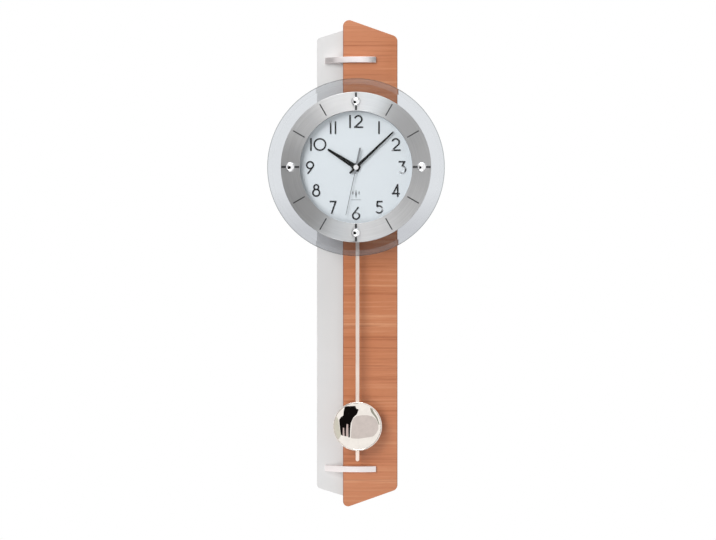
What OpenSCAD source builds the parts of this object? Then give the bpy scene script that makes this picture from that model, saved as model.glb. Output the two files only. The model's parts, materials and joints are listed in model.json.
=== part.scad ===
// Pendulum wall clock: two overlapping panels, a glass dial head on posts, and a swinging bob.
// X runs to the viewer's right, Z runs up, and the clock faces -Y with its back on the wall at Y = 0.
// The origin is the centre of the hanger hole, on the wall. Depths are counted forward from the wall.
// Heights inside the file are counted from the axis of the hands, and seat() moves them to the origin.

/* [Panels] */
// Left edge of the wooden panel, from the axis of the hands
wood_left = -18; // [-26:0.5:-14]
// Right edge of the wooden panel
wood_right = 57.2; // [50:0.1:75]
// Height of the wooden panel's upper left corner
wood_top = 209.5; // [195:0.5:230]
// Height of the wooden panel's lower left corner
wood_bottom = -468.3; // [-500:0.1:-450]
// Slope of the wooden panel's ends, in degrees
wood_slope = 19.5; // [12:0.5:24]
// Thickness of the wooden panel
wood_t = 12; // [10:0.5:18]
// Corner radius of the wooden panel
wood_corner_r = 8.5; // [4:0.5:14]
// Left edge of the painted panel
back_left = -54.2; // [-66:0.2:-50]
// Edge of the painted panel that lies hidden behind the wood
back_right = 26; // [22:1:38]
// Height of the painted panel's upper left corner
back_top = 182; // [172:1:186]
// Height of the painted panel's lower left corner
back_bottom = -440.7; // [-446:0.1:-435]
// Slope of the painted panel's ends, in degrees
back_slope = 17.4; // [14:0.2:17.6]
// Thickness of the painted panel
back_t = 10; // [9:0.5:14]
// Corner radius of the painted panel
back_corner_r = 5.5; // [3:0.5:10]
// Room beside the movement in the window behind it
window_side_room = 3; // [2:0.5:6]
// Room above and below the movement in that window
window_room = 2; // [1:0.5:6]

/* [Bars] */
// Left end of the curved bars
bar_left = -43; // [-48:0.5:-38]
// Right end of the curved bars
bar_right = 27.5; // [24:0.5:34]
// Height of the bars' face
bar_h = 8; // [7:0.5:12]
// Height of the upper bar's middle
upper_bar_z = 151; // [144:1:165]
// Height of the lower bar's middle
lower_bar_z = -413.5; // [-425:0.5:-411.5]
// How far the bar's left end stands off the painted panel
bar_left_rise = 5; // [4:0.5:8]
// How far the bar's right end stands off the wood
bar_right_rise = 4; // [3:0.5:8]
// Bulge of the bar's front over its chord
bar_bulge = 7; // [5:0.5:10]

/* [Hanger and pads] */
// Height of the hanger hole above the axis of the hands
hanger_z = 120; // [104:1:128]
// Width of the hanger plate
hanger_w = 26; // [24:1:34]
// Height of the hanger plate
hanger_h = 36; // [34:1:40]
// Thickness of the hanger plate and of the wall pads
hanger_t = 1.5; // [1:0.1:2.5]
// Radius of the hanger hole
hanger_hole_r = 4.2; // [3.5:0.1:5]
// Radius of the hanger slot
hanger_slot_r = 2.2; // [1.6:0.1:2.4]
// Rise of the hanger slot
hanger_slot_rise = 8; // [6:0.5:10]
// Radius of a wall pad
pad_r = 8; // [5:0.5:10]

/* [Dial head] */
// Gap between the wood and the back of the dial case
case_gap = 40; // [34:0.5:50]
// Outer radius of the metal ring
ring_r = 101.5; // [97:0.5:112]
// Width of the metal ring's face
ring_w = 25.5; // [24:0.5:27]
// Thickness of the metal ring
ring_t = 1.5; // [1.2:0.1:2.5]
// How far the ring stands past the dial case
case_inset = 6.5; // [5:0.1:6.6]
// Thickness of the dial case's floor
case_floor_t = 1.6; // [1.6:0.1:2.4]
// Thickness of the dial case's wall
case_wall_t = 1.8; // [1.2:0.1:2.2]
// Room between the dial and the glass
hand_room = 7.1; // [6.9:0.1:10]
// Thickness of the dial plate
dial_t = 0.8; // [0.5:0.1:1.2]
// Thickness of the gasket under the glass
gasket_t = 0.4; // [0.3:0.1:0.8]
// How far the glass disc stands past the ring
glass_margin = 18.5; // [10:0.5:30]
// Thickness of the glass disc
glass_t = 4; // [3:0.5:6]
// Width of the bevel round the glass
glass_bevel_w = 7; // [3:0.5:8]
// Depth of the bevel round the glass
glass_bevel_t = 1.8; // [0.6:0.2:2]
// Radius of a stud's dome
stud_r = 6.2; // [5:0.1:7]
// Height of a stud's dome
stud_h = 5; // [3.5:0.1:6]
// Height of the straight foot under a stud's dome
stud_foot_h = 0.8; // [0.4:0.1:1.2]
// Width of a thin hour mark
mark_w = 1.5; // [1:0.1:2.2]
// Distance from the ring's inner edge to the thin hour marks
mark_inset = 4; // [2:0.5:8]
// Distance from the ring's outer edge to the thin hour marks
mark_outset = 3.7; // [3:0.1:8]
// Width of a quarter mark
quarter_w = 2.8; // [2:0.1:4]

/* [Numerals] */
// Distance from the ring's inner edge to the middles of the numerals
numeral_inset = 13.7; // [12:0.1:18]
// Height of a numeral
numeral_h = 17.5; // [14:0.5:20]
// Width of a numeral's line
numeral_w = 2.1; // [1.4:0.1:2.6]
// How far a numeral stands proud of the dial
numeral_t = 0.8; // [0.4:0.1:1.2]

/* [Hands] */
// Distance from the hour hand's tip to the ring's inner edge
hour_short = 30.5; // [24:0.5:38]
// Distance from the minute hand's tip to the ring's inner edge
minute_short = 6.2; // [3:0.1:14]
// Distance from the second hand's tip to the ring's inner edge
second_short = 9.5; // [3:0.5:14]
// Length of the minute hand's tail
minute_tail = 12; // [9:0.5:20]
// Length of the second hand's counterweight
second_tail = 26.7; // [20:0.1:36]
// Angle of the hour hand, clockwise from twelve
hour_angle = 302.5; // [0:0.5:360]
// Angle of the minute hand, clockwise from twelve
minute_angle = 46.5; // [0:0.5:360]
// Angle of the second hand, clockwise from twelve
second_angle = 192; // [0:0.5:360]

/* [Movement] */
// Room for a contact at each end of the cell
bay_end_room = 2.1; // [2:0.1:2.6]
// Top of the movement, above the axis of the hands
movement_top = 35; // [34.5:0.5:38]
// Bottom of the movement, below the axis of the hands
movement_drop = 31; // [30.5:0.5:36]
// Depth of the movement
movement_t = 16; // [16:0.5:20]
// Wall of the movement's housing
movement_wall = 1.5; // [1.2:0.1:2]
// Radius of the threaded bushing
bushing_r = 4; // [3.8:0.1:5]
// Radius of the hour pipe
hour_pipe_r = 2.5; // [2.4:0.1:2.8]
// Radius of the minute tube
minute_tube_r = 1.6; // [1.3:0.1:1.8]
// Radius of the second shaft
second_shaft_r = 0.5; // [0.4:0.05:0.7]
// Radial clearance of a running shaft
running_gap = 0.05; // [0.02:0.01:0.09]

/* [Pendulum] */
// Sideways place of the pendulum, from the axis of the hands
pendulum_x = 2; // [-4:0.5:4]
// Height of the pendulum's pivot above the axis of the hands
pivot_z = 11; // [8:0.5:12]
// Height of the bob's centre
bob_z = -353; // [-370:0.5:-300]
// Radius of the bob inside its rolled bead
bob_r = 33.2; // [26:0.1:38]
// Bulge of the bob's face
bob_bulge = 6; // [3:0.5:9]
// Height of the rod's tip
rod_tip_z = -401; // [-405:0.5:-395]
// Width of the rod
rod_w = 5; // [3:0.5:7]
// Thickness of the rod
rod_t = 2; // [1.2:0.1:2.6]

/* [Hidden] */
$fn = 96;
HOURS = [for (h = [1:12]) h];
NUMERAL_NODES = [for (h = HOURS) str("numeral_", h)];

// Depths of the stack, counted forward from the wall
back_d = hanger_t;
back_face_d = back_d + back_t;
wood_face_d = back_face_d + wood_t;
case_d = wood_face_d + case_gap;
floor_d = case_d + case_floor_t;
dial_d = floor_d + dial_t;
glass_d = dial_d + hand_room;
rim_d = glass_d - gasket_t;
glass_face_d = glass_d + glass_t;
ring_face_d = glass_face_d + ring_t;

// Radii of the dial head, which all follow the ring
ring_hole_r = ring_r - ring_w;
stud_circle_r = (ring_r + ring_hole_r) / 2;
boss_r = 4.6;
boss_gap = 0.15;
dial_r = stud_circle_r - boss_r - boss_gap;
case_r = ring_r - case_inset;
case_chamfer = 1;
glass_r = ring_r + glass_margin;
glass_edge = 0.4;
seat_inset = 0.3;
mark_from_r = ring_hole_r + mark_inset;
mark_to_r = ring_r - mark_outset;
numeral_circle_r = ring_hole_r - numeral_inset;
hour_len = ring_hole_r - hour_short;
minute_len = ring_hole_r - minute_short;
second_len = ring_hole_r - second_short;

// The ten is the widest numeral, and sits a little nearer the middle of the dial
ten_shift = 2.8;

// Margin from a quarter mark's end to the ring's edge, depth of the marks' pockets and how far they rise
mark_margin = 0.8;
mark_pocket = 0.3;
mark_proud = 0.15;
mark_gap = 0.04;

// Small fits and cutter overlaps
eps = 0.5;
fit = 0.1;
screw_gap = 0.05;

// Corners of the panels that differ from the others
wood_sharp_corner_r = 7;
back_peak_x = 5;
back_peak_r = 1;
back_hidden_r = 2;

// Screws
post_screw_r = 2;
post_screw_head_r = 3.6;
panel_screw_r = 1.9;
panel_screw_head_r = 3.8;
bar_screw_r = 1.6;
bar_screw_head_r = 3.2;
hanger_screw_r = 1.2;
hanger_screw_head_r = 2.2;
stud_shank_r = 1.9;
stud_end_gap = 0.4;
sleeve_t = 1;

// Places of the screws, posts, pads and studs
post_left_x = -42.5;
post_right_x = 44;
post_inset = 33;
post_z = case_r - post_inset;
post_r = 5;
post_bore_depth = 12;
post_grip = 10;
left_posts = [[post_left_x, post_z], [post_left_x, -post_z]];
right_posts = [[post_right_x, post_z], [post_right_x, -post_z]];
panel_screw_x = (wood_left + back_right) / 2;
panel_screw_zs = [172, -110, -250, lower_bar_z - 22];
panel_screw_grip = 8;
bar_screw_left_x = bar_left + 10;
bar_screw_right_x = bar_right - 12.5;
bar_screw_left_grip = 7;
bar_screw_right_grip = 4;
hanger_screw_x = hanger_w / 2 - 4;
hanger_screw_z = hanger_h / 2 - 4;
hanger_screw_grip = 7;
hanger_pocket_depth = 7.5;
hanger_pocket_r = hanger_hole_r + 1.3;
pad_xs = [back_left + 14, back_right - 12];
pad_zs = [back_top - 16, back_bottom + 16];

// Length of the cell, and what follows it: its bay, the movement and the window in the panels
battery_len = 48.8;
bay_half_l = battery_len / 2 + bay_end_room;
movement_half_w = bay_half_l + movement_wall;
window_half_w = movement_half_w + window_side_room;
window_top = movement_top + window_room;
window_bottom = -movement_drop - window_room;
window_corner_r = 4;

// Movement
washer_t = 0.5;
washer_r = 9;
movement_front_d = case_d - washer_t;
cover_t = movement_wall;
movement_corner_r = 2.5;
cover_d = movement_front_d - cover_t;
movement_back_d = movement_front_d - movement_t;
room_d = movement_back_d + movement_wall;
bushing_top_d = dial_d + 1.9;
nut_t = 1.6;
nut_r = 6.5;
battery_r = 7.1;
battery_nub_r = 2.75;
battery_nub_len = 1.4;
bay_gap = 0.3;
bay_floor_t = 0.8;
bay_top = movement_top - movement_wall;
bay_bottom = bay_top - 2 * (battery_r + bay_gap);
bay_z = (bay_top + bay_bottom) / 2;
battery_d = cover_d - bay_floor_t - bay_gap - battery_r;
room_top = bay_bottom - movement_wall;
room_bottom = -movement_drop + movement_wall;

// Gears: a pinion of twelve teeth everywhere, and wheels that share centre distances
pinion_teeth = 12;
motion_teeth = 36;
hour_teeth = 48;
drive_teeth = 60;
motion_module = 0.5;
hour_module = motion_module * (pinion_teeth + motion_teeth) / (pinion_teeth + hour_teeth);
drive_module = 0.3;
pressure_angle = 25;
backlash = 0.06;
motion_arm = motion_module * (pinion_teeth + motion_teeth) / 2;
drive_arm = drive_module * (pinion_teeth + drive_teeth) / 2;
motion_direction = 150;
minute_rotor_direction = 210;
second_rotor_direction = 330;
motion_place = polar(motion_arm, motion_direction);
minute_rotor_place = polar(drive_arm, minute_rotor_direction);
second_rotor_place = polar(drive_arm, second_rotor_direction);
wheel_t = 0.8;
pinion_t = 1.8;
web_holes = 5;
web_hole_share = 0.22;
web_circle_share = 0.58;
hour_wheel_d = cover_d - 1.5;
motion_wheel_d = hour_wheel_d - 2;
drive_wheel_d = motion_wheel_d - 2;
second_wheel_d = drive_wheel_d - 2.4;
arbor_r = 0.45;
motion_seat_d = motion_wheel_d - 0.3;
pivot_depth = 1;
bearing_r = 2;
bearing_drop = 2;
magnet_r = 2.5;
magnet_t = 2.2;
stator_gap = 0.5;
stator_t = 1;
stator_ring_r = 5;
coil_r = 2.6;
coil_z = -17.5;
coil_longest = 10.6;
coil_room = 15.9;
coil_len = min(coil_longest, bay_half_l - coil_room);
coil_out = 7;
coil_rise = 3;
coil_sink = 0.6;
stator_leg_w = 3;
stator_longest = 14.5;
stator_room = 12;
stator_reach = min(stator_longest, bay_half_l - stator_room);
stator_leg_drop = 2;
coil_end_gap = 0.2;
antenna_r = 2.6;
antenna_z = room_bottom + 3.6;
antenna_d = room_d + 5.5;
button_r = 1.7;
button_head_r = 2.6;
button_proud = 1.2;
button_drop = 21;
set_button_inset = 7.5;
reset_button_inset = 5.5;
button_xs = [set_button_inset - bay_half_l, bay_half_l - reset_button_inset];
button_head_t = 0.8;

// Hands
hour_hand_d = dial_d + 2.2;
minute_hand_d = dial_d + 3.5;
second_hand_d = dial_d + 4.8;
hand_t = 0.5;
second_hand_t = 0.3;
hour_hub_r = 5.3;
hour_root_w = 7;
hour_tip_w = 3;
minute_hub_r = 4.6;
minute_root_w = 4;
minute_tip_w = 2.2;
minute_tail_w = 2.7;
second_w = 1;
second_hub_r = 2.6;
second_heel_w = 3.2;
second_heel_len = 9;
second_tail_w = 2.5;
cap_r = 3.35;
cap_h = 1;

// Pendulum
lever_t = 2.2;
lever_gap = 2;
lever_front_d = movement_back_d - lever_gap;
lever_d = lever_front_d - lever_t;
lever_w = 8;
lever_hub_r = 3.8;
pivot_r = 1.5;
pivot_head_r = 2.4;
pivot_head_t = 0.9;
pivot_play = 0.3;
swing_limit = 8;
stop_r = 1;
stop_drop = 20;
stop_gap = 0.15;
lever_bottom_z = -movement_drop - 8;
drive_z = -21;
drive_magnet_r = 4;
drive_magnet_t = 1.3;
drive_coil_r = 6.5;
drive_coil_t = 2.4;
rod_front_d = lever_d;
rod_d = rod_front_d - rod_t;
rod_top_z = -movement_drop + 5;
hook_r = 1;
hook_head_r = 1.6;
hook_head_t = 0.7;
lever_rim = 1;
hook_z = lever_bottom_z + 4;
bob_rim_t = 1;
bob_bead_r = 1;
bob_bead_out = 0.3;
bob_wall = 0.8;
bob_back_t = 0.8;
clip_t = 0.8;
clip_h = 14;

// Point at a radius and an angle counted from +X towards +Z
function polar(r, a) = [r * cos(a), r * sin(a)];

// Angle from +X of a direction given clockwise from twelve
function from_twelve(a) = 90 - a;

// Moves what is counted from the axis of the hands to the origin in the hanger hole
module seat() {
    translate([0, 0, -hanger_z])
        children();
}

// Extrudes a drawing in X and Z forward from depth d0 to depth d1
module slab(d0, d1) {
    translate([0, -d0, 0])
        rotate([90, 0, 0])
            linear_extrude(height = d1 - d0)
                children();
}

// Round peg at a place, from depth d0 to depth d1
module peg(place, r, d0, d1) {
    translate([place[0], -d0, place[1]])
        rotate([90, 0, 0])
            cylinder(r = r, h = d1 - d0);
}

// Radius of the ball whose cap has a given radius and height
function dome_ball_r(r, h) = (r * r + h * h) / (2 * h);

// Round peg from depth d0 whose front end is a cap of a ball, with its top at depth top_d
module domed_peg(place, r, ball_r, d0, top_d) {
    intersection() {
        peg(place, r, d0, top_d + 1);
        translate([place[0], ball_r - top_d, place[1]])
            sphere(r = ball_r);
    }
}

// Round turning about an axis at a place, from a profile of radius against depth
module turned(place = [0, 0]) {
    translate([place[0], 0, place[1]])
        rotate([90, 0, 0])
            rotate_extrude()
                children();
}

// Countersunk screw with its head's face at depth head_d, driven towards depth tip_d
module screw(place, r, head_r, head_d, tip_d) {
    way = sign(tip_d - head_d);
    cone = (head_r - r) * way;
    turned(place)
        polygon([[0, head_d], [head_r, head_d], [r, head_d + cone], [r, tip_d], [0, tip_d]]);
}

// Hole that such a screw sits in, with a clearance all round
module screw_hole(place, r, head_r, head_d, tip_d) {
    way = sign(tip_d - head_d);
    cone = (head_r - r) * way;
    over = head_d - way * eps;
    hr = r + screw_gap;
    hh = head_r + screw_gap;
    turned(place)
        polygon([
            [0, over], [hh, over], [hh, head_d], [hr, head_d + cone],
            [hr, tip_d + way * screw_gap], [0, tip_d + way * screw_gap]
        ]);
}

// Unit vector from a to b
function unit(a, b) = (b - a) / norm(b - a);

// Distance from a corner to where its arc starts
function tangent_len(p, a, b, r) =
    let (c = unit(p, a) * unit(p, b))
    r / tan(acos(c) / 2);

// Convex outline with round corners: the corners' tangent points, and a true arc at each corner
module rounded_outline(points, radii) {
    n = len(points);
    before = [for (i = [0:n - 1]) points[(i + n - 1) % n]];
    after = [for (i = [0:n - 1]) points[(i + 1) % n]];
    polygon([
        for (i = [0:n - 1])
            let (t = tangent_len(points[i], before[i], after[i], radii[i]))
            each [
                points[i] + unit(points[i], before[i]) * t,
                points[i] + unit(points[i], after[i]) * t
            ]
    ]);
    for (i = [0:n - 1]) {
        t = tangent_len(points[i], before[i], after[i], radii[i]);
        half = unit(points[i], before[i]) + unit(points[i], after[i]);
        reach = norm([t, radii[i]]);
        translate(points[i] + half / norm(half) * reach)
            circle(r = radii[i]);
    }
}

// Window for the movement, cut in from one edge of a panel
module window_cut(x0, x1) {
    h = window_top - window_bottom;
    rounded_outline(
        [[x0, window_bottom], [x1, window_bottom], [x1, window_bottom + h], [x0, window_bottom + h]],
        [for (i = [0:3]) window_corner_r]
    );
}

module wood_outline() {
    drop = tan(wood_slope) * (wood_right - wood_left);
    rounded_outline(
        [
            [wood_left, wood_bottom], [wood_right, wood_bottom + drop],
            [wood_right, wood_top - drop], [wood_left, wood_top]
        ],
        [wood_sharp_corner_r, wood_corner_r, wood_corner_r, wood_corner_r]
    );
}

// Painted panel: its ends rise to a peak behind the wood, then fall with the wood's own slope
module back_outline() {
    rise = tan(back_slope) * (back_peak_x - back_left);
    fall = tan(wood_slope) * (back_right - back_peak_x);
    rounded_outline(
        [
            [back_left, back_bottom], [back_peak_x, back_bottom - rise],
            [back_right, back_bottom - rise + fall], [back_right, back_top + rise - fall],
            [back_peak_x, back_top + rise], [back_left, back_top]
        ],
        [back_corner_r, back_peak_r, back_hidden_r, back_hidden_r, back_peak_r, back_corner_r]
    );
}

module wood_panel() {
    color([0.77, 0.48, 0.31])
        seat()
            difference() {
                slab(back_face_d, wood_face_d)
                    difference() {
                        wood_outline();
                        window_cut(wood_left - 2 * window_corner_r, window_half_w);
                    }
                post_fixings(right_posts, back_face_d, wood_face_d);
                panel_fixings();
                bar_fixings();
            }
}

module back_panel() {
    color([0.88, 0.88, 0.88])
        seat()
            difference() {
                slab(back_d, back_face_d)
                    difference() {
                        back_outline();
                        window_cut(-window_half_w, back_right + 2 * window_corner_r);
                    }
                post_fixings(left_posts, back_d, back_face_d);
                panel_fixings();
                bar_fixings();
                hanger_pocket();
                for (place = hanger_screw_places())
                    screw_hole(place, hanger_screw_r, hanger_screw_head_r, 0, hanger_t + hanger_screw_grip);
            }
}

// Screw holes through a panel into the posts
module post_fixings(places, head_d, face_d) {
    for (place = places)
        screw_hole(place, post_screw_r, post_screw_head_r, head_d, face_d + post_grip);
}

module panel_fixings() {
    for (z = panel_screw_zs)
        screw_hole([panel_screw_x, z], panel_screw_r, panel_screw_head_r, back_d,
            back_face_d + panel_screw_grip);
}

module bar_fixings() {
    for (z = [upper_bar_z, lower_bar_z]) {
        screw_hole([bar_screw_left_x, z], bar_screw_r, bar_screw_head_r, back_d,
            back_face_d + bar_screw_left_grip);
        screw_hole([bar_screw_right_x, z], bar_screw_r, bar_screw_head_r, back_d,
            wood_face_d + bar_screw_right_grip);
    }
}

module panel_screws() {
    color([0.75, 0.75, 0.77])
        seat()
            for (z = panel_screw_zs)
                screw([panel_screw_x, z], panel_screw_r, panel_screw_head_r, back_d,
                    back_face_d + panel_screw_grip);
}

module bar_screws() {
    color([0.75, 0.75, 0.77])
        seat()
            for (z = [upper_bar_z, lower_bar_z]) {
                screw([bar_screw_left_x, z], bar_screw_r, bar_screw_head_r, back_d,
                    back_face_d + bar_screw_left_grip);
                screw([bar_screw_right_x, z], bar_screw_r, bar_screw_head_r, back_d,
                    wood_face_d + bar_screw_right_grip);
            }
}

// Curved bar: a stepped back that lies on both panels, under one long arc
module bar(z) {
    left = [bar_left, back_face_d + bar_left_rise];
    right = [bar_right, wood_face_d + bar_right_rise];
    chord = norm(right - left);
    arc_r = chord * chord / (8 * bar_bulge) + bar_bulge / 2;
    along = unit(left, right);
    centre = (left + right) / 2 + [along[1], -along[0]] * (arc_r - bar_bulge);
    deep = arc_r;
    difference() {
        translate([0, 0, z - bar_h / 2])
            linear_extrude(height = bar_h)
                mirror([0, 1])
                    intersection() {
                        translate(centre)
                            circle(r = arc_r, $fn = 360);
                        union() {
                            translate([bar_left, back_face_d])
                                square([wood_left - bar_left - fit, deep]);
                            translate([bar_left, wood_face_d])
                                square([bar_right - bar_left, deep]);
                        }
                    }
        bar_fixings();
    }
}

module upper_bar() {
    color([0.86, 0.87, 0.88])
        seat()
            bar(upper_bar_z);
}

module lower_bar() {
    color([0.86, 0.87, 0.88])
        seat()
            bar(lower_bar_z);
}

function hanger_screw_places() = [
    for (sx = [-1, 1], sz = [-1, 1])
        [sx * hanger_screw_x, hanger_z + sz * hanger_screw_z]
];

module hanger_plate() {
    color([0.7, 0.71, 0.73])
        seat()
            difference() {
                slab(0, hanger_t)
                    difference() {
                        translate([-hanger_w / 2, hanger_z - hanger_h / 2])
                            square([hanger_w, hanger_h]);
                        translate([0, hanger_z])
                            circle(r = hanger_hole_r);
                        translate([-hanger_slot_r, hanger_z])
                            square([2 * hanger_slot_r, hanger_slot_rise]);
                        translate([0, hanger_z + hanger_slot_rise])
                            circle(r = hanger_slot_r);
                    }
                for (place = hanger_screw_places())
                    screw_hole(place, hanger_screw_r, hanger_screw_head_r, 0, hanger_t + hanger_screw_grip);
            }
}

// Room behind the hanger plate for the head of the wall screw
module hanger_pocket() {
    slab(back_d - eps, back_d + hanger_pocket_depth) {
        translate([0, hanger_z])
            circle(r = hanger_pocket_r);
        translate([-hanger_pocket_r, hanger_z])
            square([2 * hanger_pocket_r, hanger_slot_rise]);
        translate([0, hanger_z + hanger_slot_rise])
            circle(r = hanger_pocket_r);
    }
}

module hanger_screws() {
    color([0.75, 0.75, 0.77])
        seat()
            for (place = hanger_screw_places())
                screw(place, hanger_screw_r, hanger_screw_head_r, 0, hanger_t + hanger_screw_grip);
}

module wall_pads() {
    color([0.25, 0.25, 0.26])
        seat()
            for (x = pad_xs, z = pad_zs)
                peg([x, z], pad_r, 0, hanger_t);
}

// Threaded post with a blind hole in each end
module post(place, base_d) {
    difference() {
        peg(place, post_r, base_d, case_d);
        peg(place, post_screw_r + screw_gap, base_d - eps, base_d + post_bore_depth);
        peg(place, post_screw_r + screw_gap, case_d - post_bore_depth, case_d + eps);
    }
}

module case_posts() {
    color([0.8, 0.81, 0.83])
        seat() {
            for (place = left_posts)
                post(place, back_face_d);
            for (place = right_posts)
                post(place, wood_face_d);
        }
}

module post_screws() {
    color([0.75, 0.75, 0.77])
        seat() {
            for (place = left_posts)
                screw(place, post_screw_r, post_screw_head_r, back_d, back_face_d + post_grip);
            for (place = right_posts)
                screw(place, post_screw_r, post_screw_head_r, back_face_d, wood_face_d + post_grip);
            for (place = concat(left_posts, right_posts))
                screw(place, post_screw_r, post_screw_head_r, floor_d, case_d - post_grip);
        }
}

function stud_places() = [for (i = [0:3]) polar(stud_circle_r, 90 * i)];

// Shallow round pan with four bosses for the studs
module dial_case() {
    color([0.72, 0.73, 0.75])
        seat()
            difference() {
                union() {
                    turned()
                        polygon([
                            [0, case_d], [case_r - case_chamfer, case_d], [case_r, case_d + case_chamfer],
                            [case_r, rim_d], [case_r - case_wall_t, rim_d],
                            [case_r - case_wall_t, floor_d], [0, floor_d]
                        ]);
                    for (place = stud_places())
                        peg(place, boss_r, case_d + case_floor_t / 2, rim_d);
                }
                for (place = stud_places())
                    peg(place, stud_shank_r + screw_gap, floor_d - case_floor_t / 4, rim_d + eps);
                for (place = concat(left_posts, right_posts))
                    screw_hole(place, post_screw_r, post_screw_head_r, floor_d, case_d - post_grip);
                peg([0, 0], bushing_r + fit, case_d - eps, floor_d + eps);
            }
}

module dial_plate() {
    color([0.88, 0.91, 0.92])
        seat()
            slab(floor_d, dial_d)
                difference() {
                    circle(r = dial_r);
                    circle(r = bushing_r + fit);
                }
}

// Angled ring that holds the dial's edge down and carries the glass
module spacer_ring() {
    inner = ring_hole_r + seat_inset;
    wall = 1.6;
    flange_t = 1.2;
    color([0.5, 0.51, 0.54])
        seat()
            turned()
                polygon([
                    [inner, dial_d], [dial_r, dial_d], [dial_r, dial_d + flange_t],
                    [inner + wall, dial_d + flange_t], [inner + wall, rim_d], [inner, rim_d]
                ]);
}

module glass_gasket() {
    color([0.2, 0.2, 0.21])
        seat()
            slab(rim_d, glass_d) {
                difference() {
                    circle(r = case_r);
                    circle(r = ring_hole_r + seat_inset);
                    for (place = stud_places())
                        translate(place)
                            circle(r = stud_shank_r + screw_gap);
                }
            }
}

module glass_disc() {
    color([0.85, 0.92, 0.9, 0.4])
        seat()
            difference() {
                turned()
                    polygon([
                        [0, glass_d], [glass_r - glass_edge, glass_d], [glass_r, glass_d + glass_edge],
                        [glass_r, glass_face_d - glass_bevel_t], [glass_r - glass_bevel_w, glass_face_d],
                        [0, glass_face_d]
                    ]);
                for (place = stud_places())
                    peg(place, stud_shank_r + sleeve_t, glass_d - eps, glass_face_d + eps);
            }
}

// Nylon sleeves that keep the studs' shanks off the glass
module glass_sleeves() {
    color([0.95, 0.95, 0.94])
        seat()
            for (place = stud_places())
                slab(glass_d, glass_face_d)
                    translate(place)
                        difference() {
                            circle(r = stud_shank_r + sleeve_t - screw_gap);
                            circle(r = stud_shank_r + screw_gap);
                        }
}

// Thin bar along a radius, from r0 to r1
module radial_mark(angle, r0, r1, w) {
    rotate(angle)
        translate([r0, -w / 2])
            square([r1 - r0, w]);
}

// Flat drawing of all the hour marks, grown by a clearance for their pockets
module mark_drawing(grow) {
    for (h = HOURS)
        if (h % 3 == 0) {
            a = from_twelve(30 * h);
            w = quarter_w + 2 * grow;
            inner_end = stud_circle_r - stud_r - fit;
            outer_end = stud_circle_r + stud_r + fit;
            radial_mark(a, ring_hole_r + mark_margin - grow, inner_end + grow, w);
            radial_mark(a, outer_end - grow, ring_r - mark_margin + grow, w);
        } else {
            radial_mark(from_twelve(30 * h), mark_from_r - grow, mark_to_r + grow, mark_w + 2 * grow);
        }
}

module trim_ring() {
    bevel = 0.6;
    color([0.78, 0.79, 0.8])
        seat()
            difference() {
                turned()
                    polygon([
                        [ring_hole_r, glass_face_d], [ring_r, glass_face_d],
                        [ring_r, ring_face_d - bevel], [ring_r - bevel, ring_face_d],
                        [ring_hole_r + bevel / 2, ring_face_d], [ring_hole_r, ring_face_d - bevel / 2]
                    ]);
                slab(ring_face_d - mark_pocket, ring_face_d + eps)
                    mark_drawing(mark_gap);
                for (place = stud_places())
                    peg(place, stud_shank_r + fit, glass_face_d - eps, ring_face_d + eps);
            }
}

module hour_marks() {
    color([0.1, 0.1, 0.1])
        seat()
            slab(ring_face_d - mark_pocket, ring_face_d + mark_proud)
                mark_drawing(0);
}

// Domed nut on a shank that reaches through ring, glass and gasket into a boss
module dome_studs() {
    ball_r = dome_ball_r(stud_r, stud_h - stud_foot_h);
    color([0.9, 0.9, 0.91])
        seat()
            for (place = stud_places()) {
                domed_peg(place, stud_r, ball_r, ring_face_d, ring_face_d + stud_h);
                peg(place, stud_shank_r, floor_d + stud_end_gap, ring_face_d + stud_foot_h);
            }
}

// Straight stroke of a numeral between two points
module stroke(a, b) {
    translate(a)
        rotate(atan2(b[1] - a[1], b[0] - a[0]))
            translate([0, -numeral_w / 2])
                square([norm(b - a), numeral_w]);
}

// Round stroke of a numeral: a ring of centre line radius r, kept between two angles
module bow(c, r, a0, a1) {
    steps = 6;
    translate(c)
        intersection() {
            difference() {
                circle(r = r + numeral_w / 2);
                circle(r = r - numeral_w / 2);
            }
            polygon([
                [0, 0],
                for (i = [0:steps]) polar(3 * r, a0 + (a1 - a0) * i / steps)
            ]);
        }
}

// Closed round of a numeral
module loop(c, r) {
    translate(c)
        difference() {
            circle(r = r + numeral_w / 2);
            circle(r = r - numeral_w / 2);
        }
}

// Angles between which the round strokes of the two, the three and the five run
two_angles = [-44, 165];
three_angles = [-150, 95];
five_angles = [-150, 132];

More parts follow.
